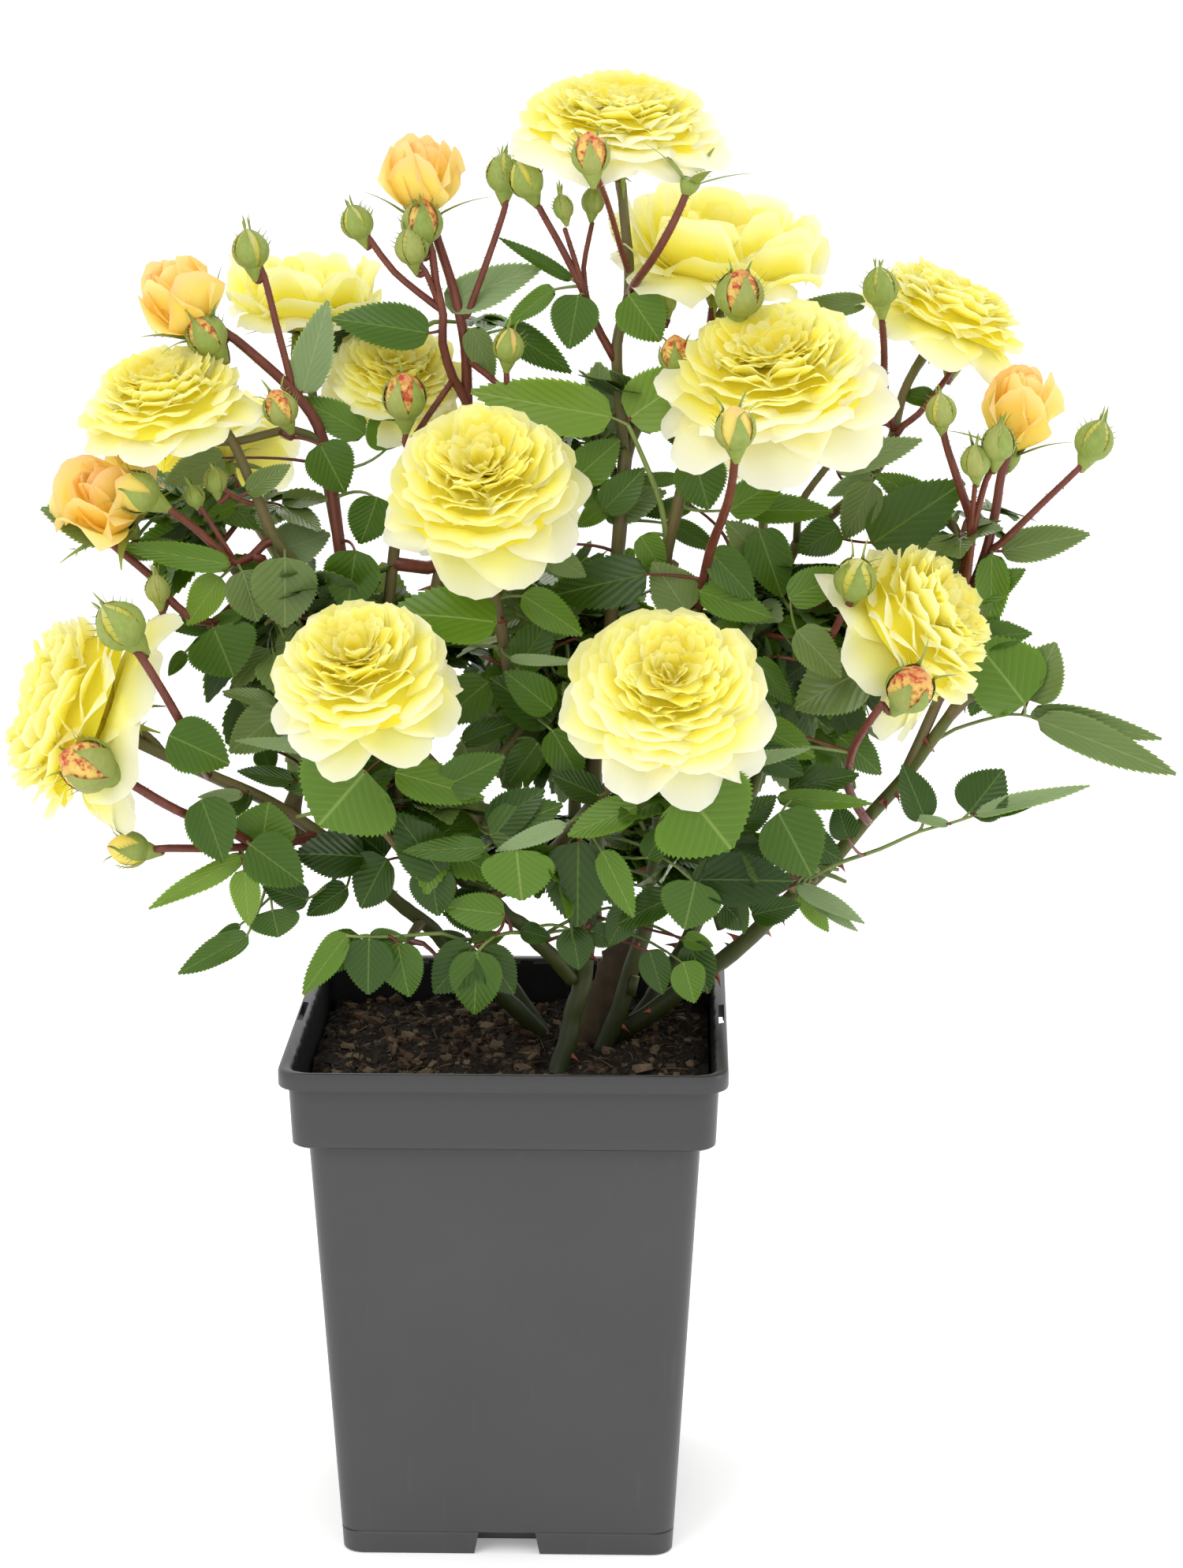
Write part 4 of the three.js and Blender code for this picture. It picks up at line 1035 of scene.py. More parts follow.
# big right flower and its neighbours
limb([(840, 760, -2), (845, 700, -4), (860, 640, -8), (875, 580, -14), (893, 520, -22), (915, 505, -28)], 3.1, 2.6, OLIVE, thorns=2, hairs=0.8)
limb([(847, 700, -4), (838, 640, -10), (815, 580, -14), (797, 540, -14)], 1.5, 1.0, GREENSTEM, hairs=0.3)
limb([(890, 580, -10), (905, 525, -14), (915, 500, -14)], 1.5, 1.3, RED, hairs=1.2)
limb([(895, 570, -10), (880, 540, -12), (863, 500, -12), (857, 478, -12)], 1.1, 1.0, RED, hairs=1.2)
limb([(880, 775, -10), (900, 700, -40), (922, 640, -72), (930, 600, -92), (932, 572, -100)], 1.9, 1.5, RED, hairs=1.6)
# right
limb([(985, 740, 14), (1010, 690, 16), (1070, 640, 20), (1105, 605, 24), (1130, 560, 28), (1145, 500, 32), (1168, 455, 36), (1180, 435, 38)], 2.8, 2.0, OLIVE, thorns=2, hairs=1.0)
limb([(1133, 545, 28), (1122, 490, 20), (1121, 440, 10), (1117, 392, 2)], 1.5, 1.2, RED, hairs=1.5)
limb([(1128, 565, 28), (1145, 540, 26), (1165, 525, 26), (1200, 480, 36), (1210, 462, 42)], 1.4, 1.1, RED, hairs=1.4)
limb([(1010, 690, 16), (1015, 640, 6), (1050, 590, -4), (1075, 560, -14)], 1.5, 1.2, OLIVE, hairs=1.0)
limb([(1205, 830, 0), (1215, 765, 2), (1228, 700, 0), (1232, 665, -6), (1218, 620, -14), (1200, 565, -24), (1196, 545, -28)], 2.3, 1.3, RED, hairs=1.2)
limb([(1215, 765, 2), (1235, 740, 2), (1250, 700, 2), (1262, 650, 0), (1270, 600, 0), (1284, 560, 0)], 2.1, 1.6, RED, hairs=1.3)
limb([(1215, 765, 2), (1225, 740, -4), (1235, 670, -14), (1250, 610, -24), (1262, 588, -30)], 1.6, 1.1, RED, hairs=1.2)
limb([(1228, 700, -8), (1234, 640, -22), (1237, 608, -30)], 1.1, 0.9, RED, hairs=1.2)
limb([(1250, 700, 2), (1268, 690, -2), (1320, 640, -12), (1372, 590, -20), (1380, 578, -20)], 1.5, 1.1, RED, hairs=1.2)
CANE_END = skeleton[0][0]
limb([CANE_END[-7], at(1196, 872, -12), at(1205, 830, 0)], 2.6, 2.4, OLIVE, thorns=1, is_px=False)
limb([(1190, 880, -10), (1170, 850, -28), (1150, 835, -36)], 2.2, 2.0, OLIVE, hairs=1.0)
limb([(1098, 1040, -14), (1076, 1000, -30), (1080, 955, -48), (1098, 922, -62), (1119, 893, -70)], 1.8, 1.5, RED, hairs=1.4)
limb([(1040, 850, -24), (1058, 800, -46), (1079, 762, -58)], 1.6, 1.4, RED, hairs=1.4)
# stems of the low flowers
limb([(660, 1110, -44), (610, 1040, -58), (540, 960, -72), (480, 900, -88)], 2.5, 2.1, OLIVE, hairs=0.8)
limb([(700, 1080, -40), (760, 1010, -60), (820, 950, -84), (838, 915, -96)], 2.5, 2.1, OLIVE, hairs=0.8)
limb([(655, 900, -30), (640, 820, -34), (622, 730, -44), (615, 690, -50)], 2.5, 2.1, OLIVE, hairs=0.8)
limb([(560, 700, 14), (530, 600, 40), (515, 520, 52), (510, 490, 56)], 2.2, 1.8, OLIVE, hairs=0.6)
limb([(540, 905, 8), (545, 800, 12), (560, 715, 14)], 2.6, 2.6, OLIVE, thorns=2)

# ------------------------------------------------------------------ flowers
def spot(u, v, y):
    return at(u, v, y)


BLOOMS = [  # name, centre, facing, width, depth, pallor
    ("bloom_top", (50, -2, 651), (.05, -.26, .97), 108, 25, 2),
    ("bloom_right_high", (200, 40, 564), (.40, -.06, .91), 90, 26, 0),
    ("bloom_right_large", (117, -42, 545), (-.12, -.40, .91), 114, 36, 2),
    ("bloom_centre", (-9, -66, 500), (-.05, -.58, .81), 98, 36, 1),
    ("bloom_low_left", (-60, -108, 424), (-.10, -.52, .85), 88, 36, 1),
    ("bloom_low_right", (73, -116, 418), (.04, -.70, .71), 97, 38, 1),
    ("bloom_far_left", (-198, -40, 391), (-.93, -.14, .36), 118, 44, 1),
    ("bloom_left_high", (-153, -20, 530), (-.16, -.28, .94), 88, 28, 1),
    ("bloom_small_left", (-52, 24, 536), (.05, -.50, .86), 74, 24, 1),
    ("bloom_far_right", (188, -38, 432), (.78, -.25, .57), 92, 40, 1),
    ("bloom_back_high", (118, 132, 516), (.20, .62, .75), 88, 36, 1),
    ("bloom_back_left", (-150, 112, 492), (-.50, .50, .70), 82, 34, 1),
    ("bloom_back_right", (188, 116, 405), (.62, .55, .55), 82, 34, 0),
    ("bloom_back_centre", (-16, 158, 464), (-.05, .74, .66), 88, 36, 1),
    ("bloom_back_low", (78, 190, 372), (.10, .85, .50), 82, 34, 1),
]


for name, c, f, w, D, pale in BLOOMS:
    a = unit(f)
    foot = np.asarray(c, float) - a * D * 0.52
    rosette(foot, a, w, D, spin=rng.random() * 6, pale=pale, droop=6.0 if a[2] > 0.93 else 16.0)
    end = foot - a * 7
    dist, p, r = nearest(end - a * 18)
    stalk_to(p, end, a, max(1.9, min(2.4, r)), 2.1, OLIVE if rng.random() < 0.5 else RED, hairs=1.0)

for c, f, w, h in (((95, 22, 591), (.12, -.16, .98), 100, 40), ((-97, 50, 566), (.06, -.05, .98), 76, 34)):
    a = unit(f)
    foot = np.asarray(c, float) - a * h * 0.5
    cup_flower(foot, a, w, h, spin=rng.random() * 6)
    end = foot - a * 7
    dist, p, r = nearest(end - a * 14)
    stalk_to(p, end, a, 2.0, 1.9, RED, hairs=1.0)

# a flower past its best, its petals gone, beside the top flower
hip(SPENT, unit((.35, -.1, .9)), 4.6, 7.0)
sepals(SPENT, unit((.35, -.1, .9)), np.array([1.0, 0, 0]), 27, 1.25, 5.5, droop=0.1)
OPENING = [  # centre px, depth, facing, length, width, openness
    (535, 228, 8, (0.02, -0.16, 0.99), 34, 30, 0.60),
    (230, 382, -6, (-0.50, -0.30, 0.80), 35, 32, 0.60),
    (135, 634, -20, (-0.40, -0.55, 0.72), 35, 38, 0.95),
    (1293, 522, 0, (0.16, -0.16, 0.98), 37, 30, 0.50),
]
for u, v, y, f, L, w, o in OPENING:
    a = unit(f)
    foot = spot(u, v, y) - a * L * 0.5
    opening_bud(foot, a, L, w, o)
    end = foot - a * 7
    dist, p, r = nearest(end)
    stalk_to(p, end, a, 1.6, 1.7, RED, hairs=1.2, back=8)

BUDS = [  # centre px, depth, facing, length, width, colour, how open the sepals are
    (453, 283, -4, (-0.35, -0.2, 0.9), 15, 14, LEMON, 0.16), (535, 284, -2, (0.0, -0.1, 1.0), 19, 18, FLAME, 0.26),
    (522, 314, -6, (-0.15, -0.3, 0.9), 16, 14.5, LEMON, 0.06), (639, 222, 0, (0.0, -0.1, 1.0), 17, 15.5, LEMON, 0.17),
    (667, 229, -12, (-0.35, -0.3, 0.85), 17, 15, LEMON, 0.22), (749, 197, -52, (-0.1, -0.2, 0.96), 18, 16, FLAME, 0.36),
    (714, 264, -8, (-0.2, -0.1, 0.95), 11, 8.5, LEMON, 0.02), (752, 256, 4, (0.1, 0, 1.0), 12, 9.8, LEMON, 0.02),
    (318, 318, 0, (-0.15, -0.1, 0.97), 17, 16, LEMON, 0.14), (262, 425, -10, (-0.5, -0.3, 0.8), 19, 18, FLAME, 0.22),
    (356, 518, -20, (-0.3, -0.4, 0.85), 17, 15, FLAME, 0.30), (175, 625, -34, (-0.80, -0.30, 0.50), 20, 19, AMBER, 0.36),
    (273, 610, -18, (-0.1, -0.2, 0.95), 12, 10, LEMON, 0.02), (247, 630, -22, (-0.3, -0.2, 0.9), 10, 8.5, LEMON, 0.02),
    (513, 505, -20, (0.0, -0.3, 0.94), 21, 19, FLAME, 0.30), (645, 440, -10, (0.1, -0.2, 0.96), 15, 13.5, AMBER, 0.22),
    (932, 545, -102, (-0.05, -0.3, 0.94), 19, 17, AMBER, 0.32), (858, 452, -12, (-0.1, -0.1, 0.98), 17, 15.5, FLAME, 0.40),
    (1116, 366, 0, (-0.1, -0.1, 0.98), 17, 15.5, LEMON, 0.15), (1212, 445, 44, (0.2, -0.1, 0.96), 18, 17, FLAME, 0.30),
    (1193, 522, -30, (-0.1, -0.3, 0.94), 15, 13, LEMON, 0.12), (1266, 563, -32, (0.1, -0.2, 0.96), 16, 14.5, LEMON, 0.12),
    (1237, 586, -32, (-0.1, -0.3, 0.95), 14.5, 12.8, LEMON, 0.08), (1387, 560, -20, (0.35, -0.1, 0.9), 18, 16.5, LEMON, 0.17),
    (1084, 735, -60, (0.1, -0.5, 0.85), 19, 18, LEMON, 0.25), (1154, 874, -76, (0.35, -0.55, 0.70), 21, 21, FLAME, 0.33),
    (153, 794, -88, (-0.55, -0.35, 0.75), 22, 21, LEMON, 0.20), (112, 972, -84, (-0.80, -0.35, 0.40), 24, 24, FLAME, 0.34),
    (165, 1077, -60, (-0.97, -0.15, 0.15), 18, 16, AMBER, 0.42), (200, 748, -26, (-0.1, -0.1, 0.98), 13, 11, LEMON, 0.05),
    (845, 383, 0, (-0.1, -0.1, 0.98), 11, 8.5, LEMON, 0.02), (937, 374, -30, (0.1, -0.2, 0.96), 20, 21, FLAME, 0.28),
]
for u, v, y, f, L, w, col, slit in BUDS:
    a = unit(f)
    foot = spot(u, v, y) - a * L * 0.42
    closed_bud(foot, a, L, w, col, slit, tips=3.0 + 3.5 * rng.random(), spin=rng.random() * 6)
    end = foot - a * w * 0.38
    dist, p, r = nearest(end)
    if dist > 2.5:
        stalk_to(p, end, a, 1.5, 1.35, RED, hairs=1.8, sides=7, back=8)

# ------------------------------------------------------------------ leaves set one by one
def placed(u0, v0, u1, v1, y, ratio, tone, dy=0.0, link=True, up=0.25, teeth=19, fold=None):
    """A leaflet from its foot at pixel u0, v0 to its tip at u1, v1, at depth y."""
    p, q = at(u0, v0, y), at(u1, v1, y + dy)
    if v0 < 930:                                  # the upper leaves are in full light: painted light, their greens are turned lighter or to the painted sheen
        aside = u0 < 470 or u0 > 1000
        tone = {DEEP: DARK, DARK: SHEEN if aside and rng.random() < 0.60 else MID, MID: SHEEN if rng.random() < (0.6 if aside else 0.2) else BRIGHT}.get(tone, tone)
    L = np.linalg.norm(q - p)
    n = BACK + np.array([0, 0, up]) + rng.normal(size=3) * 0.16
    leaflet(p, q - p, n, L, ratio, tone, teeth, fold=(0.10 + 0.14 * rng.random()) if fold is None else fold, droop=0.06 + 0.08 * rng.random(),
            twist=(rng.random() - 0.5) * 0.3, wave=0.035, shape=(0.48, 0.88))
    if link:
        dist, s, r = nearest(p, inward=True)
        if dist < 90:
            d = unit(p - q)
            c = 0.5 * (p + s) + d * dist * 0.22 - BACK * min(8.0, dist * 0.25)
            stalk(s, c, p + unit(q - p) * 1.0, 0.95, 0.6, RED if rng.random() < 0.35 else GREENSTEM, 8, 5)


PLACED = [
    # upper left and the leaves under the left flowers
    (159, 683, 51, 640, -14, .52, DARK), (405, 563, 439, 626, -12, .92, DARK), (313, 625, 367, 588, -16, .50, MID),
    (478, 630, 458, 693, -16, .95, DARK), (451, 698, 439, 779, -20, .88, DARK), (361, 707, 360, 799, -24, .92, MID),
    (307, 724, 327, 790, -22, .90, DARK), (292, 716, 149, 691, -26, .24, MID), (285, 580, 206, 612, 6, .55, UNDER),
    (255, 623, 342, 674, 4, .42, BRIGHT), (348, 700, 418, 676, 8, .80, UNDER), (280, 732, 235, 794, -20, .60, FRESH),
    (270, 796, 298, 860, -24, 1.35, DARK), (275, 799, 186, 785, -10, .28, DARK), (308, 777, 259, 792, -16, .35, BRIGHT),
    (351, 895, 282, 872, -26, .38, MID), (356, 902, 288, 956, -28, .66, DARK), (428, 951, 295, 936, -44, .15, UNDER),
    (214, 933, 293, 967, -90, .92, MID), (235, 827, 212, 858, -6, .50, DARK), (332, 948, 345, 982, -20, .9, MID),
    (388, 955, 434, 966, -20, .5, DARK), (300, 640, 255, 660, -2, .5, MID), (159, 700, 235, 690, -6, .4, DARK),
    # low left
    (464, 978, 402, 1050, -84, 1.50, BRIGHT), (255, 1014, 286, 1096, -64, .76, MID), (316, 1071, 386, 1122, -58, .80, MID),
    (332, 1070, 340, 1018, -46, 1.5, BRIGHT), (461, 1087, 371, 1079, -48, .78, DEEP), (491, 1089, 454, 1152, -52, .98, DARK),
    (489, 1086, 454, 1056, -40, 1.1, DARK), (310, 1086, 184, 1153, -50, .20, FRESH), (310, 1103, 314, 1178, -54, .52, FRESH),
    (391, 1142, 332, 1124, -44, .62, DARK), (345, 1154, 353, 1190, -44, 1.75, MID), (315, 1187, 221, 1235, -42, .34, MID),
    (305, 1174, 273, 1187, -36, .36, MID), (441, 1126, 386, 1160, -40, .60, DARK), (308, 1008, 249, 1010, -40, .30, UNDER),
    (318, 1006, 270, 1036, -36, .6, DARK), (372, 990, 300, 975, -34, .4, DARK), (400, 1000, 345, 985, -30, .5, MID),
    # over the pot, left and centre
    (441, 1185, 380, 1262, -84, .42, BRIGHT), (468, 1190, 466, 1264, -86, .85, DARK), (468, 1192, 516, 1190, -80, .62, MID),
    (505, 1196, 517, 1268, -84, .80, MID), (455, 1186, 398, 1236, -80, .6, MID),
    (600, 1200, 548, 1262, -70, .72, DARK), (606, 1206, 600, 1290, -72, .78, MID), (612, 1204, 655, 1262, -70, .70, DARK),
    (600, 1196, 640, 1186, -60, .6, BRIGHT), (590, 1200, 560, 1180, -58, .6, DARK),
    (874, 1196, 900, 1262, -52, .66, DARK), (866, 1190, 905, 1200, -52, .6, BRIGHT),
    # centre, upper
    (544, 423, 419, 401, 0, .50, DARK), (383, 499, 416, 381, 4, .42, UNDER), (565, 388, 686, 332, 10, .42, UNDER),
    (703, 366, 638, 412, 4, .42, BRIGHT), (726, 355, 632, 300, 6, .17, DARK), (733, 374, 721, 444, -8, .88, DARK),
    (797, 374, 838, 434, -8, .92, MID), (638, 416, 727, 472, 10, .42, DARK), (597, 416, 626, 482, 6, .52, MID),
    (776, 529, 594, 496, -12, .38, FRESH), (797, 531, 888, 466, -10, .70, FRESH), (463, 551, 378, 502, 8, .46, MID),
    (492, 571, 482, 514, 8, .90, BRIGHT), (731, 606, 786, 558, -4, .74, MID), (764, 648, 818, 594, -6, .62, DARK),
    (761, 650, 734, 606, 0, .52, MID), (820, 728, 690, 756, -28, .52, DEEP), (735, 560, 700, 590, 10, .5, DARK),
    # centre, lower: between the big flowers
    (630, 790, 486, 768, -70, .60, BRIGHT), (655, 850, 700, 780, -40, .62, DARK), (700, 900, 640, 850, -56, .66, DARK),
    (560, 1000, 640, 960, -90, .62, MID), (620, 1050, 690, 1000, -76, .62, DARK),
    (700, 1120, 640, 1060, -80, .66, MID), (560, 1110, 500, 1030, -76, .66, DARK),
    (880, 1130, 960, 1090, -80, .62, MID), (850, 1140, 780, 1170, -76, .66, DARK), (640, 1160, 560, 1150, -72, .60, BRIGHT),
    (900, 700, 960, 760, -30, .62, DARK), (980, 720, 920, 660, -10, .62, MID), (1010, 800, 1070, 860, -50, .62, DARK),
    (1000, 760, 1080, 720, -30, .60, BRIGHT), (690, 700, 745, 730, -40, .6, MID),
    # between the large flowers, from the close view
    (880, 580, 900, 648, -16, .98, DARK), (924, 648, 1000, 602, -12, .55, BRIGHT), (898, 567, 841, 551, -2, .5, DARK),
    (1058, 594, 1170, 554, 18, .36, UNDER), (1107, 602, 1048, 629, 14, .4, UNDER), (949, 648, 1058, 645, 0, .36, BRIGHT),
    (1064, 669, 1010, 701, 2, .8, DARK), (1107, 612, 1069, 686, 6, .6, DARK), (962, 672, 994, 760, -12, .66, DARK),
    (1010, 758, 1052, 722, -14, .5, BRIGHT), (812, 680, 844, 728, -18, .7, BRIGHT), (871, 776, 828, 712, -24, .8, MID),
    (887, 750, 982, 784, -30, .45, BRIGHT), (662, 755, 742, 804, -50, .5, BRIGHT), (646, 835, 738, 841, -54, .16, UNDER),
    (700, 916, 622, 857, -44, .66, DEEP), (619, 865, 555, 918, -40, .7, DARK), (587, 942, 662, 908, -46, .45, DARK),
    (700, 926, 738, 992, -60, .74, DARK), (683, 942, 641, 996, -56, .62, DARK), (501, 980, 616, 1012, -92, .46, BRIGHT),
    (1100, 848, 1004, 896, -34, .82, DARK), (1064, 934, 1121, 982, -30, .6, MID), (986, 790, 1082, 815, -20, .4, DARK),
    (962, 921, 1036, 960, -50, .6, MID), (908, 975, 1028, 948, -70, .17, UNDER), (957, 835, 1006, 896, -30, .42, DARK),
    (760, 620, 742, 572, 0, .6, DARK), (770, 640, 730, 668, -2, .6, MID), (700, 690, 650, 720, -20, .5, DARK),
    (764, 652, 845, 622, 2, .55, SHEEN), (878, 640, 814, 652, 10, .45, DARK), (850, 664, 912, 698, 6, .42, DARK),
    (846, 706, 792, 726, -6, .55, BRIGHT), (880, 772, 826, 720, 8, .80, MID), (860, 606, 788, 612, 12, .28, BRIGHT),
    (1098, 384, 991, 392, 34, .30, MID), (1186, 508, 1140, 500, 34, .62, DARK), (1205, 700, 1135, 690, 10, .42, SHEEN),
    (790, 860, 745, 810, -20, .62, DARK), (720, 760, 782, 730, -2, .5, MID), (905, 800, 960, 830, -16, .5, MID),
    (560, 860, 600, 905, -20, .62, DARK), (345, 905, 300, 880, -16, .5, MID),
    # right
    (1105, 690, 1224, 610, 4, .58, DARK), (1270, 700, 1383, 672, 0, .42, MID), (1300, 893, 1236, 806, -14, 1.02, MID), (1304, 888, 1338, 814, -6, .86, DARK), (1262, 872, 1290, 902, -10, .7, DARK), (1258, 703, 1257, 806, -4, .42, MID),
    (1180, 640, 1110, 600, 10, .5, MID), (1240, 760, 1300, 720, -2, .5, BRIGHT), (1225, 770, 1160, 720, 4, .5, DARK),
    (1230, 810, 1310, 800, -6, .5, DARK), (1255, 850, 1230, 910, -12, .6, DARK),
    # the two arching leaves at the right
    (1308, 903, 1479, 935, -2, .20, MID), (1316, 913, 1497, 981, -8, .25, MID),
    (1173, 1040, 1147, 970, -26, .62, DARK), (1228, 1032, 1272, 976, -27, .98, DARK), (1254, 1030, 1318, 1016, -27, .34, MID),
    (1236, 1034, 1383, 990, -30, .15, UNDER), (1203, 1046, 1151, 1034, -28, .26, UNDER),
    (1009, 1124, 1101, 1168, -40, .26, UNDER), (1015, 1131, 1052, 1184, -38, .42, FRESH), (1028, 1139, 1090, 1182, -38, .24, UNDER),
    # low centre
    (617, 1075, 508, 1080, -86, .30, MID), (655, 1078, 661, 1145, -90, 1.38, BRIGHT), (733, 1068, 733, 1181, -82, .78, DARK),
    (546, 1100, 555, 1164, -74, .92, DARK), (718, 1045, 625, 1080, -92, .24, UNDER), (621, 1060, 712, 1018, -78, .60, MID),
    (808, 1023, 717, 1058, -96, .50, BRIGHT), (763, 1079, 807, 1166, -92, .40, BRIGHT), (868, 1003, 930, 1080, -112, 1.45, BRIGHT),
    (987, 1031, 1032, 1114, -72, .92, MID), (890, 1116, 1009, 1116, -84, .60, DEEP), (882, 1118, 867, 1181, -88, 1.18, MID),
    (953, 1161, 1016, 1146, -62, .60, DARK), (918, 1148, 949, 1180, -66, .9, DARK), (726, 1178, 734, 1232, -70, .84, DARK),
    (748, 1180, 786, 1196, -66, .8, DARK), (823, 1205, 842, 1263, -64, .64, DARK), (866, 1220, 883, 1274, -60, .80, BRIGHT),
    (985, 1012, 1108, 1018, -60, .22, BRIGHT), (1000, 1000, 1090, 980, -50, .5, DARK), (1075, 1065, 1062, 1020, -46, .8, DARK),
    (960, 950, 1020, 985, -56, .6, DARK), (1010, 1060, 1070, 1090, -50, .7, DARK), (930, 1050, 985, 1010, -66, .6, DARK),
    (576, 1131, 618, 1185, -60, .85, DARK), (660, 1180, 700, 1190, -60, .7, DARK), (630, 1150, 560, 1160, -64, .6, DARK),
    (800, 1150, 770, 1200, -70, .7, DARK), (760, 1010, 700, 980, -70, .62, DEEP), (820, 1090, 850, 1040, -76, .6, MID),
]
limb([(1176, 947, -6), (1211, 925, -4), (1279, 906, -4), (1310, 910, -4)], 1.2, 0.7, GREENSTEM, sides=6)
limb([(1029, 1112, -24), (1060, 1096, -25), (1116, 1077, -26), (1165, 1055, -26), (1206, 1044, -27), (1236, 1034, -28)], 1.3, 0.7, GREENSTEM, sides=6)
limb([(600, 1192, -56), (560, 1184, -66), (516, 1187, -76), (470, 1189, -84), (441, 1187, -86)], 1.1, 0.7, GREENSTEM, sides=6)
limb([(690, 1195, -44), (669, 1183, -56), (627, 1187, -66), (604, 1210, -72)], 1.2, 0.8, GREENSTEM, sides=6)
for row in PLACED:
    placed(*row)

# ------------------------------------------------------------------ foliage masses: shoots, twigs and leaves by rule
MASSES = [
    ("leaves_centre", (14, -6, 398), (56, 52, 56), 1.35), ("leaves_front_left", (-66, -66, 338), (58, 46, 44), 1.0),
    ("leaves_front_centre", (10, -84, 332), (40, 38, 42), 1.0), ("leaves_front_right", (88, -74, 336), (52, 44, 44), 1.0),
    ("leaves_mid_left", (-92, 6, 412), (54, 48, 50), 1.2), ("leaves_mid_right", (118, 4, 412), (58, 50, 54), 1.45),
    ("leaves_back_left", (-74, 104, 376), (62, 54, 54), 1.2), ("leaves_back_centre", (24, 112, 384), (52, 50, 56), 1.2),
    ("leaves_back_right", (118, 100, 366), (60, 54, 54), 1.2), ("leaves_low_left", (-118, -40, 302), (50, 44, 30), 0.0),
    ("leaves_low_right", (140, -18, 302), (33, 36, 24), 0.35), ("leaves_low_back", (30, 92, 296), (70, 44, 28), 1.4),
    ("leaves_right_edge", (228, 22, 410), (32, 34, 26), 0.6), ("leaves_upper_right", (200, 12, 462), (50, 42, 25), 0.7),
    ("leaves_upper_left", (-134, 22, 468), (56, 44, 34), 0.5), ("leaves_upper_centre", (38, 14, 508), (54, 44, 34), 0.55),
    ("leaves_top_left", (-44, 36, 551), (50, 44, 27), 0.20), ("leaves_soil_left", (-48, -30, 266), (44, 32, 20), 0.5),
    ("leaves_right_spray", (210, -26, 352), (44, 24, 15), 0.0), ("leaves_right_tip", (266, -2, 368), (42, 24, 15), 0.0),
]
# painted shade and light: the low masses take the darker greens, the higher ones the lighter greens and the painted
# sheen
LOW_BAG = [DEEP, DARK, DARK, DARK, MID, MID, MID, BRIGHT]
MID_BAG = [MID, MID, MID, BRIGHT, BRIGHT, SHEEN, SHEEN, SHEEN]
HIGH_BAG = [MID, BRIGHT, BRIGHT, SHEEN, SHEEN, SHEEN, BRIGHT, UNDER]
SET = np.array([[*row[:6]] for row in PLACED], float)
SET_LEN = np.hypot(SET[:, 2] - SET[:, 0], SET[:, 3] - SET[:, 1])


def pixel(P):
    """Where a point (mm) is seen in the 1500x1989 frame."""
    d = np.asarray(P, float) * MM - EYE
    depth = -np.dot(d, BACK)
    return W_PX / 2 + FOCAL * np.dot(d, RIGHT) / depth, H_PX / 2 - FOCAL * np.dot(d, UP) / depth


def hides_a_leaf(P):
    """True if the point stands in front of one of the leaves that were set one by one."""
    u, v = pixel(P)
    dx, dy = SET[:, 2] - SET[:, 0], SET[:, 3] - SET[:, 1]
    f = np.clip(((u - SET[:, 0]) * dx + (v - SET[:, 1]) * dy) / (SET_LEN ** 2), 0, 1)
    gap = np.hypot(u - SET[:, 0] - f * dx, v - SET[:, 1] - f * dy)
    return bool(np.any((gap < np.maximum(0.42 * SET[:, 5] * SET_LEN, 14)) & (P[1] < SET[:, 4] + 6)))


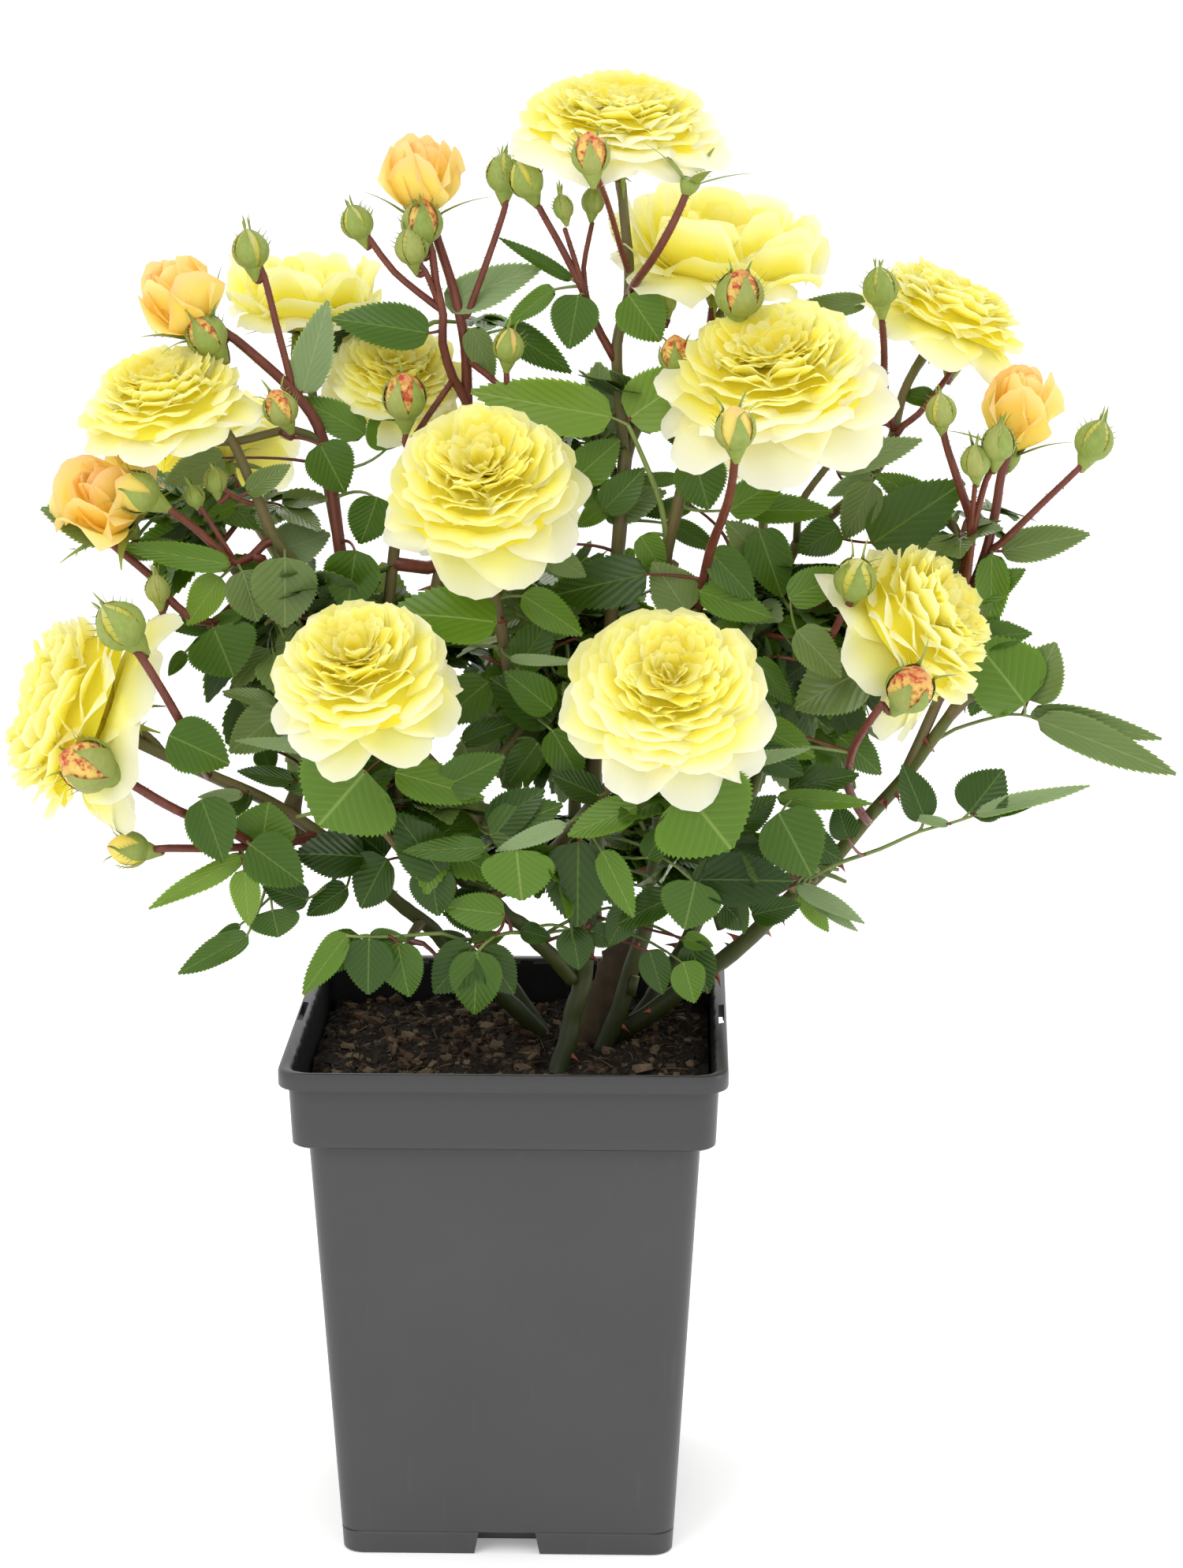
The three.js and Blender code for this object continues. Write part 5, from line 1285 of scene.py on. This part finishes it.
def shoot_into(c, rad, share):
    """One bough into the mass, twigs off it, and a leaf at every bud along them."""
    c, rad = np.asarray(c, float), np.asarray(rad, float)
    far, s, r = nearest(c - np.array([0, 0, rad[2] * 0.7]), stout=1.5)
    made = 0
    want = int(round(27 * share * (np.prod(rad) / 150000.0) ** 0.6))
    if want < 1:
        return 0
    end = c + np.array([0, 0, rad[2] * 0.2])
    mid = (s + end) / 2 + rng.normal(size=3) * 4
    path = smooth_path([s, mid, end], 6.0)
    rr = np.linspace(min(2.6, r * 0.9), 1.7, len(path))
    tube(canes, path, 0, 0, 8, OLIVE, lumps=0.03, radii=rr)
    skeleton.append((path, rr))
    buds_at = []
    twigs = max(2, int(want / 3))
    for k in range(twigs):
        j = int(len(path) * (0.35 + 0.6 * (k + rng.random()) / twigs))
        j = min(j, len(path) - 1)
        p = path[j]
        d = rng.normal(size=3)
        d[2] = abs(d[2]) * 0.8 + 0.1
        d = unit(d)
        q = c + d * rad * (0.40 + 0.38 * rng.random())
        if hides_a_leaf(q) or hides_a_leaf((p + q) / 2):
            q = q + np.array([0, 26.0, 0])       # turns inwards, behind them
        L = np.linalg.norm(q - p)
        if L < 8 or hides_a_leaf(q):
            continue
        tw = smooth_path([p, (p + q) / 2 + np.array([0, 0, 3.0]), q], 5.0)
        tr = np.linspace(1.6, 0.9, len(tw))
        tube(canes, tw, 0, 0, 6, GREENSTEM if rng.random() < 0.6 else RED, lumps=0.02, radii=tr)
        skeleton.append((tw, tr))
        n = max(3, int(L / 9))
        for m in range(n):
            i = min(len(tw) - 1, int(len(tw) * (m + 0.8) / n))
            buds_at.append((tw[i], unit(tw[min(i + 1, len(tw) - 1)] - tw[i - 1]), k * 1.1 + m * 2.4))
    rng.shuffle(buds_at)
    # painted shade and light: darker greens low in the plant, lighter ones higher up
    bag = LOW_BAG if c[2] < 320 else MID_BAG if c[2] < 385 else HIGH_BAG
    tone = bag[rng.integers(len(bag))]
    for p, t, phi in buds_at:
        if made >= want:
            break
        for attempt in range(8):
            o = unit(p - c + rng.normal(size=3) * 22)
            out = unit(o + 0.35 * np.array([math.cos(phi), math.sin(phi), 0.2]) + rng.normal(size=3) * 0.25)
            reach = 25 + 13 * rng.random()
            size = 25 + 9 * rng.random()
            tip = p + out * (reach + size * 0.85)
            if np.linalg.norm((tip - c) / (rad * 1.12)) < 1.0 and tip[2] > 232 and not any(hides_a_leaf(p + out * h) for h in (reach * 0.6, reach, reach + size * 0.6)):
                break
        else:
            reach, size = 15.0, 25.0
            tip = p + out * (reach + size)
            if np.linalg.norm((tip - c) / (rad * 1.25)) > 1.0 or tip[2] < 232 or hides_a_leaf(p + out * reach) or hides_a_leaf(tip):
                continue
        normal = unit(np.array([0, 0, 1.0]) + 0.65 * o + rng.normal(size=3) * 0.25)
        if rng.random() < 0.4:
            tone = bag[rng.integers(len(bag))]
        compound_leaf(p, out, normal, reach, size, pairs=2 if rng.random() < 0.75 else 3, tone=tone, fresh=0.3, teeth=9)
        made += 1
    return made


count = 0
for name, c, rad, share in MASSES:
    count += shoot_into(c, rad, share)
print("compound leaves", count)

# ------------------------------------------------------------------ pot
RIM_WIDTH, RIM_HEIGHT, LIP_HEIGHT = 200.0, 237.5, 8.0
BAND_TOP, BAND_FOOT, BAND_LEVEL, BODY_TOP, BODY_FOOT, WALL, CORNER = 191.5, 189.0, 201.0, 175.7, 152.0, 2.0, 10.0
SOIL_LEVEL = 218.5


def square_ring(half, corner, z, wave=0.0, per_corner=7, per_side=26):
    """Points round a square with rounded corners."""
    pts = []
    inner = half - corner
    for k in range(4):
        a0 = k * math.pi / 2
        cx, cy = inner * (1 if k in (0, 3) else -1), inner * (1 if k in (0, 1) else -1)
        for i in range(per_corner):
            a = a0 + (math.pi / 2) * i / (per_corner - 1)
            pts.append((cx + corner * math.cos(a), cy + corner * math.sin(a)))
        nxt = (k + 1) % 4
        nx, ny = inner * (1 if nxt in (0, 3) else -1), inner * (1 if nxt in (0, 1) else -1)
        a1 = a0 + math.pi / 2
        p0 = np.array([cx + corner * math.cos(a1), cy + corner * math.sin(a1)])
        p1 = np.array([nx + corner * math.cos(a1), ny + corner * math.sin(a1)])
        for i in range(1, per_side):
            pts.append(tuple(p0 + (p1 - p0) * i / per_side))
    pts = np.array(pts)
    if wave:
        n = len(pts)
        u = np.arange(n) / n * 2 * math.pi
        r = np.linalg.norm(pts, axis=1)[:, None]
        off = wave * (0.6 * np.sin(u * 36) + 0.4 * np.sin(u * 57 + 1.0))
        pts = pts * (1 - off[:, None] / r)
    return np.column_stack([pts, np.full(len(pts), z)])


def pot_mesh():
    H = RIM_HEIGHT
    prof = [  # half width, height, corner, waviness
        (70.5, 1.2, 8, 0), (73.0, 0.0, 8.5, 0), (75.2, 0.0, 9, 0), (BODY_FOOT / 2, 0.9, 9.5, 0)]
    slope = lambda z: (BODY_FOOT + (BODY_TOP - BODY_FOOT) * z / BAND_LEVEL) / 2
    prof += [(slope(10.4), 10.4, 10, 0), (slope(10.8) - 0.45, 10.9, 10, 0), (slope(11.4), 11.5, 10, 0)]
    for z in np.linspace(12.5, BAND_LEVEL - 3.0, 14):
        prof.append((slope(z), z, 10, 0))
    prof += [(slope(BAND_LEVEL) + 0.0, BAND_LEVEL - 1.6, 10, 0), (slope(BAND_LEVEL) + 0.9, BAND_LEVEL - 0.3, 10, 0), (BAND_FOOT / 2 - 1.0, BAND_LEVEL, 10, 0),
             (BAND_FOOT / 2, BAND_LEVEL + 0.8, 10.5, 0)]
    for z in (206, 213, 220, 226):
        prof.append((BAND_FOOT / 2 + (BAND_TOP - BAND_FOOT) / 2 * (z - BAND_LEVEL) / 28.5, z, 10.5, 0))
    prof += [(BAND_TOP / 2, H - LIP_HEIGHT + 0.8, 10.5, 0), (BAND_TOP / 2 + 0.8, H - LIP_HEIGHT + 1.8, 11, 0), (98.3, H - LIP_HEIGHT + 1.8, 12, 0),
             (98.5, H - LIP_HEIGHT, 12, 0), (99.7, H - LIP_HEIGHT, 12, 0), (100.0, H - LIP_HEIGHT + 0.8, 12, 0),
             (100.0, H - 1.4, 12, 0), (99.6, H - 0.3, 12, 0), (98.8, H, 12, 0), (97.6, H - 0.1, 12, 0), (96.0, H - 0.5, 11.5, 0.25), (94.8, H - 1.3, 11, 0.55),
             (94.1, H - 2.8, 10.5, 0.7), (93.9, H - 6, 10, 0.4), (93.6, H - 14, 9.5, 0)]
    for z in (215, 205):
        prof.append((BAND_FOOT / 2 - WALL + 0.4, z, 9, 0))
    prof += [(slope(199) - WALL, 198, 8, 0), (slope(100) - WALL, 100, 8, 0), (slope(20) - WALL, 20, 8, 0), (slope(14) - WALL - 2, 14, 7, 0), (20, 14, 5, 0)]
    rings = [square_ring(h, c, z, w) for h, z, c, w in prof]
    m = len(rings[0])
    V = np.concatenate(rings)
    Q = grid_quads(len(rings), m, wrap=True)
    bm = bmesh.new()
    vs = [bm.verts.new(Vector(v * MM)) for v in V]
    for q in Q:
        bm.faces.new([vs[i] for i in q])
    bm.faces.new([vs[i] for i in range(m)][::-1])
    bm.faces.new([vs[i] for i in range(len(V) - m, len(V))])
    bmesh.ops.recalc_face_normals(bm, faces=bm.faces)
    me = bpy.data.meshes.new("pot_skin")
    bm.to_mesh(me)
    bm.free()
    return me


def cutter(name, boxes=(), cylinders=()):
    bm = bmesh.new()
    for (x0, x1, y0, y1, z0, z1), top in boxes:
        # a notch narrows a little towards its top
        s = top
        co = [(x0, y0, z0), (x1, y0, z0), (x1, y1, z0), (x0, y1, z0)]
        cx, cy = (x0 + x1) / 2, (y0 + y1) / 2
        if abs(x1 - x0) > abs(y1 - y0):
            up = [(cx + (x - cx) * s, y, z1) for x, y, _ in co]
        else:
            up = [(x, cy + (y - cy) * s, z1) for x, y, _ in co]
        v = [bm.verts.new(Vector(p) * MM) for p in co + up]
        for f in ((0, 3, 2, 1), (4, 5, 6, 7), (0, 1, 5, 4), (1, 2, 6, 5), (2, 3, 7, 6), (3, 0, 4, 7)):
            bm.faces.new([v[i] for i in f])
    for x, y, r, z0, z1 in cylinders:
        bmesh.ops.create_cone(bm, cap_ends=True, segments=24, radius1=r * MM, radius2=r * MM, depth=(z1 - z0) * MM,
                              matrix=Matrix.Translation(Vector((x, y, (z0 + z1) / 2)) * MM))
    bmesh.ops.recalc_face_normals(bm, faces=bm.faces)
    me = bpy.data.meshes.new(name)
    bm.to_mesh(me)
    bm.free()
    return bpy.data.objects.new(name, me)


pot_mat, nt, b = new_material("pot_plastic", 0.36)
oc = object_coords(nt)
big = noise(nt, oc, 14.0, 3.0)
fine = noise(nt, oc, 900.0, 2.0)
mp = node(nt, "ShaderNodeMapping")
mp.inputs["Scale"].default_value = (1, 1, 0.12)
nt.links.new(oc, mp.inputs[0])
scuff = math_node(nt, "MULTIPLY_ADD", noise(nt, mp.outputs[0], 190.0, 5.0), 3.2, -2.0, clamp=True)
col = mix_colour(nt, big, G(0.038, 0.0385, 0.040), G(0.050, 0.0505, 0.0525))
col = mix_colour(nt, math_node(nt, "MULTIPLY", scuff, 0.20), col, G(0.15, 0.15, 0.155))
sepz = node(nt, "ShaderNodeSeparateXYZ")
nt.links.new(oc, sepz.inputs[0])
# painted shade: the top band of the pot is darker
rim_shade = math_node(nt, "MULTIPLY_ADD", sepz.outputs[2], 60.0, -11.6, clamp=True)
col = mix_colour(nt, rim_shade, col, G(0.0365, 0.0365, 0.0385))
nt.links.new(col, b.inputs["Base Color"])
bump(nt, b, fine, 0.18, 0.12 * MM)
b.inputs["Specular IOR Level"].default_value = 0.45

pot = bpy.data.objects.new("pot_moulded", pot_mesh())
bpy.context.scene.collection.objects.link(pot)
boxes = []
for sx, sy in ((0, -1), (0, 1), (-1, 0), (1, 0)):
    if sy:
        boxes.append(((-15.5, 15.5, min(sy * 61, sy * 90), max(sy * 61, sy * 90), -2, 11), 26 / 31))
    else:
        boxes.append(((min(sx * 61, sx * 90), max(sx * 61, sx * 90), -15.5, 15.5, -2, 11), 26 / 31))
for sx in (-1, 1):
    boxes.append(((min(sx * 96.3, sx * 98.9), max(sx * 96.3, sx * 98.9), -15, 15, 225, 241), 1.0))
cut = cutter("pot_cuts", boxes, [(x, y, 4.5, -3, 17) for x in (-34, 34) for y in (-34, 34)])
bpy.context.scene.collection.objects.link(cut)
mod = pot.modifiers.new("cuts", "BOOLEAN")
mod.object, mod.operation, mod.solver = cut, "DIFFERENCE", "EXACT"
dg = bpy.context.evaluated_depsgraph_get()
done = bpy.data.meshes.new_from_object(pot.evaluated_get(dg))
pot.modifiers.clear()
pot.data = done
bpy.data.objects.remove(cut)
pot.data.materials.clear()
pot.data.materials.append(pot_mat)
# painted shade: the inside walls are near black for the shade within the pot
inner_shade_mat, nt2, b2 = new_material("pot_inside_shade", 0.6)
nt2.links.new(mix_colour(nt2, noise(nt2, object_coords(nt2), 60.0), G(0.004, 0.004, 0.0045), G(0.009, 0.009, 0.010)), b2.inputs["Base Color"])
b2.inputs["Specular IOR Level"].default_value = 0.2
pot.data.materials.append(inner_shade_mat)
# the inside walls above the floor of the pot take the painted shade
for p in pot.data.polygons:
    p.use_smooth = True
    c = p.center
    if c.z < (RIM_HEIGHT - 2.0) * MM and c.z > 13 * MM and (c.x * p.normal.x + c.y * p.normal.y) < 0 and max(abs(c.x), abs(c.y)) < 94.3 * MM and abs(p.normal.z) < 0.7:
        p.material_index = 1
pot.data.set_sharp_from_angle(angle=math.radians(38))
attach(pot, "root")
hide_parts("pot")

# ------------------------------------------------------------------ compost
soil_mats = []
# the compost's own dark browns, darkened further as painted shade
for nm, lo_c, hi_c in (("compost_dark", G(0.008, 0.006, 0.004), G(0.026, 0.018, 0.011)), ("compost_chip", G(0.036, 0.021, 0.011), G(0.095, 0.056, 0.030)),
                       ("compost_fibre", G(0.090, 0.062, 0.036), G(0.170, 0.120, 0.070))):
    soil_mats.append(stem_material(nm, lo_c, hi_c, 0.95, 330.0, bump_mm=0.7, stretch=1.0))
soil = Pile("compost_surface", soil_mats, ["compost"], "compost", smooth=False)
n = 110
half = 91.6
g = np.linspace(-half, half, n)
X, Y = np.meshgrid(g, g, indexing="xy")


def hills(x, y, seed):
    r = np.random.default_rng(seed)
    z = 0
    for k in range(26):
        f = 0.03 * 1.13 ** k
        a = r.random() * 6.28
        z = z + np.sin(f * (x * math.cos(a) + y * math.sin(a)) * 6.0 + r.random() * 6.28) / (1 + 0.20 * k)
    return z


Z = SOIL_LEVEL - 1.0 + 0.75 * hills(X, Y, 5) + rng.normal(size=X.shape) * 0.55
Z = np.clip(Z, SOIL_LEVEL - 5, SOIL_LEVEL + 3.2)
edge = np.maximum(np.abs(X), np.abs(Y))
corner = np.minimum(np.abs(X), np.abs(Y))
keep_in = np.clip((half - edge) / 6, 0, 1)
Z = Z - (1 - keep_in) * 2.0
sq = 1 - 0.045 * np.clip((corner - 70) / 21.6, 0, 1) ** 2
V = np.stack([X * sq, Y * sq, Z], -1).reshape(-1, 3)
soil.add(V, grid_quads(n, n), mat=0)
ringI = np.concatenate([np.arange(n), n * np.arange(1, n) + n - 1, n * (n - 1) + np.arange(n - 2, -1, -1), n * np.arange(n - 2, 0, -1)])
low = V[ringI].copy()
low[:, 2] = SOIL_LEVEL - 12
both = np.vstack([V[ringI], low])
m = len(ringI)
soil.add(both, np.array([[i, m + i, m + (i + 1) % m, (i + 1) % m] for i in range(m)]), mat=0)


def chip(p, size, mat):
    """A shred of bark."""
    ax = np.array([1.0, 0.42 + 0.4 * rng.random(), 0.20 + 0.30 * rng.random()]) * size
    base = np.array([[-1, -1, -1], [1, -0.8, -1], [0.9, 1, -1], [-0.8, 0.9, -1], [-0.8, -0.7, 1], [0.7, -0.9, 0.8], [1, 0.7, 1], [-1, 0.8, 0.7]], float) * 0.5
    base = base * ax + rng.normal(size=(8, 3)) * size * 0.07
    a, t = rng.random() * 6.28, rng.normal() * 0.5
    ca, sa, ct, st = math.cos(a), math.sin(a), math.cos(t), math.sin(t)
    M = np.array([[ca, -sa, 0], [sa, ca, 0], [0, 0, 1]]) @ np.array([[ct, 0, st], [0, 1, 0], [-st, 0, ct]])
    soil.add(base @ M.T + p, np.array([[0, 3, 2, 1], [4, 5, 6, 7], [0, 1, 5, 4], [1, 2, 6, 5], [2, 3, 7, 6], [3, 0, 4, 7]]), mat=mat)


def soil_z(x, y):
    i = np.clip(int((x + half) / (2 * half) * (n - 1)), 0, n - 1)
    j = np.clip(int((y + half) / (2 * half) * (n - 1)), 0, n - 1)
    return Z[j, i]


for _ in range(2600):
    x, y = rng.uniform(-87, 87, 2)
    if max(abs(x), abs(y)) > 84 and min(abs(x), abs(y)) > 78:
        continue
    chip(np.array([x, y, soil_z(x, y) + 0.3]), 1.6 + 3.4 * rng.random() ** 2.2, 0 if rng.random() < 0.55 else 1 if rng.random() < 0.8 else 2)
for _ in range(230):
    x, y = rng.uniform(-82, 82, 2)
    # painted shade: half the large, lighter chips on the right are moved to the left, leaving the right side darker
    if x > 10 and rng.random() < 0.5:
        x -= 70
    chip(np.array([x, y, soil_z(x, y) + 0.8]), 4.0 + 4.5 * rng.random() ** 2, 1 if rng.random() < 0.55 else 2)
for _ in range(160):
    x, y = rng.uniform(-82, 82, 2)
    a = rng.random() * 6.28
    L = 5 + 9 * rng.random()
    p0 = np.array([x, y, soil_z(x, y) + 0.9])
    q = p0 + np.array([math.cos(a), math.sin(a), 0]) * L
    q[:2] = np.clip(q[:2], -86, 86)
    q[2] = soil_z(q[0], q[1]) + 0.9
    tube(soil, bezier(p0, (p0 + q) / 2 + np.array([rng.normal(), rng.normal(), 1.6]), q, 6), 0.30, 0.16, 4, 2)

# ------------------------------------------------------------------ joined pieces
canes.nodes = [nm for nm in NODES if nm.startswith(("cane_", "bough_", "stem_"))]
leaves.nodes = [nm for nm in NODES if nm.startswith("leaves_")]
petals.nodes = [nm for nm in NODES if nm.startswith("bloom_")]
calyxes.nodes = [nm for nm in NODES if nm.startswith("buds_")]
for pile in (soil, canes, fuzz, leaves, petals, calyxes):
    pile.close()
    print(pile.name, [len(o.data.polygons) for o in pile.made], sum(sum(len(p.vertices) - 2 for p in o.data.polygons) for o in pile.made))

# ------------------------------------------------------------------ floor, light, camera
floor_mat, nt, b = new_material("studio_floor", 0.95)
b.inputs["Base Color"].default_value = (0.96, 0.96, 0.96, 1)
b.inputs["Emission Color"].default_value = (1, 1, 1, 1)
b.inputs["Emission Strength"].default_value = 0.22
b.inputs["Specular IOR Level"].default_value = 0.1
me = bpy.data.meshes.new("floor")
k = 64
R = 90.0
me.from_pydata([(R * math.cos(i * 2 * math.pi / k), R * math.sin(i * 2 * math.pi / k), 0) for i in range(k)], [], [list(range(k))])
floor = bpy.data.objects.new("floor", me)
me.materials.append(floor_mat)
bpy.context.scene.collection.objects.link(floor)

world = bpy.data.worlds.new("studio")
world.use_nodes = True
world.node_tree.nodes["Background"].inputs[0].default_value = (1, 1, 1, 1)
world.node_tree.nodes["Background"].inputs[1].default_value = 1.06
bpy.context.scene.world = world


def softbox(name, place, target, size, watts):
    d = bpy.data.lights.new(name, "AREA")
    d.shape, d.size, d.size_y, d.energy = "RECTANGLE", size[0], size[1], watts
    o = bpy.data.objects.new(name, d)
    o.location = place
    o.rotation_mode = "QUATERNION"
    o.rotation_quaternion = (Vector(target) - Vector(place)).to_track_quat("-Z", "Y")
    bpy.context.scene.collection.objects.link(o)
    return o


softbox("key_light", (-0.9, -1.6, 1.9), (0, 0, 0.4), (1.2, 1.2), 16)
softbox("side_light", (1.9, -0.3, 0.9), (0, 0, 0.3), (0.9, 1.4), 7)
softbox("back_light", (0.3, 1.7, 1.8), (0, 0, 0.45), (1.4, 0.9), 8)

cam_data = bpy.data.cameras.new("camera")
cam_data.sensor_fit = "AUTO"
cam_data.sensor_width = 36.0
cam_data.lens = FOCAL / H_PX * 36.0
cam_data.clip_start, cam_data.clip_end = 0.05, 400.0
cam = bpy.data.objects.new("camera", cam_data)
cam.matrix_world = Matrix(((RIGHT[0], UP[0], BACK[0], EYE[0]), (RIGHT[1], UP[1], BACK[1], EYE[1]), (RIGHT[2], UP[2], BACK[2], EYE[2]), (0, 0, 0, 1)))
bpy.context.scene.collection.objects.link(cam)
bpy.context.scene.camera = cam
bpy.context.scene.view_settings.view_transform = "Standard"
bpy.context.scene.cycles.diffuse_bounces = 9    # light passes through many thin petals
bpy.context.scene.view_settings.look = "None"
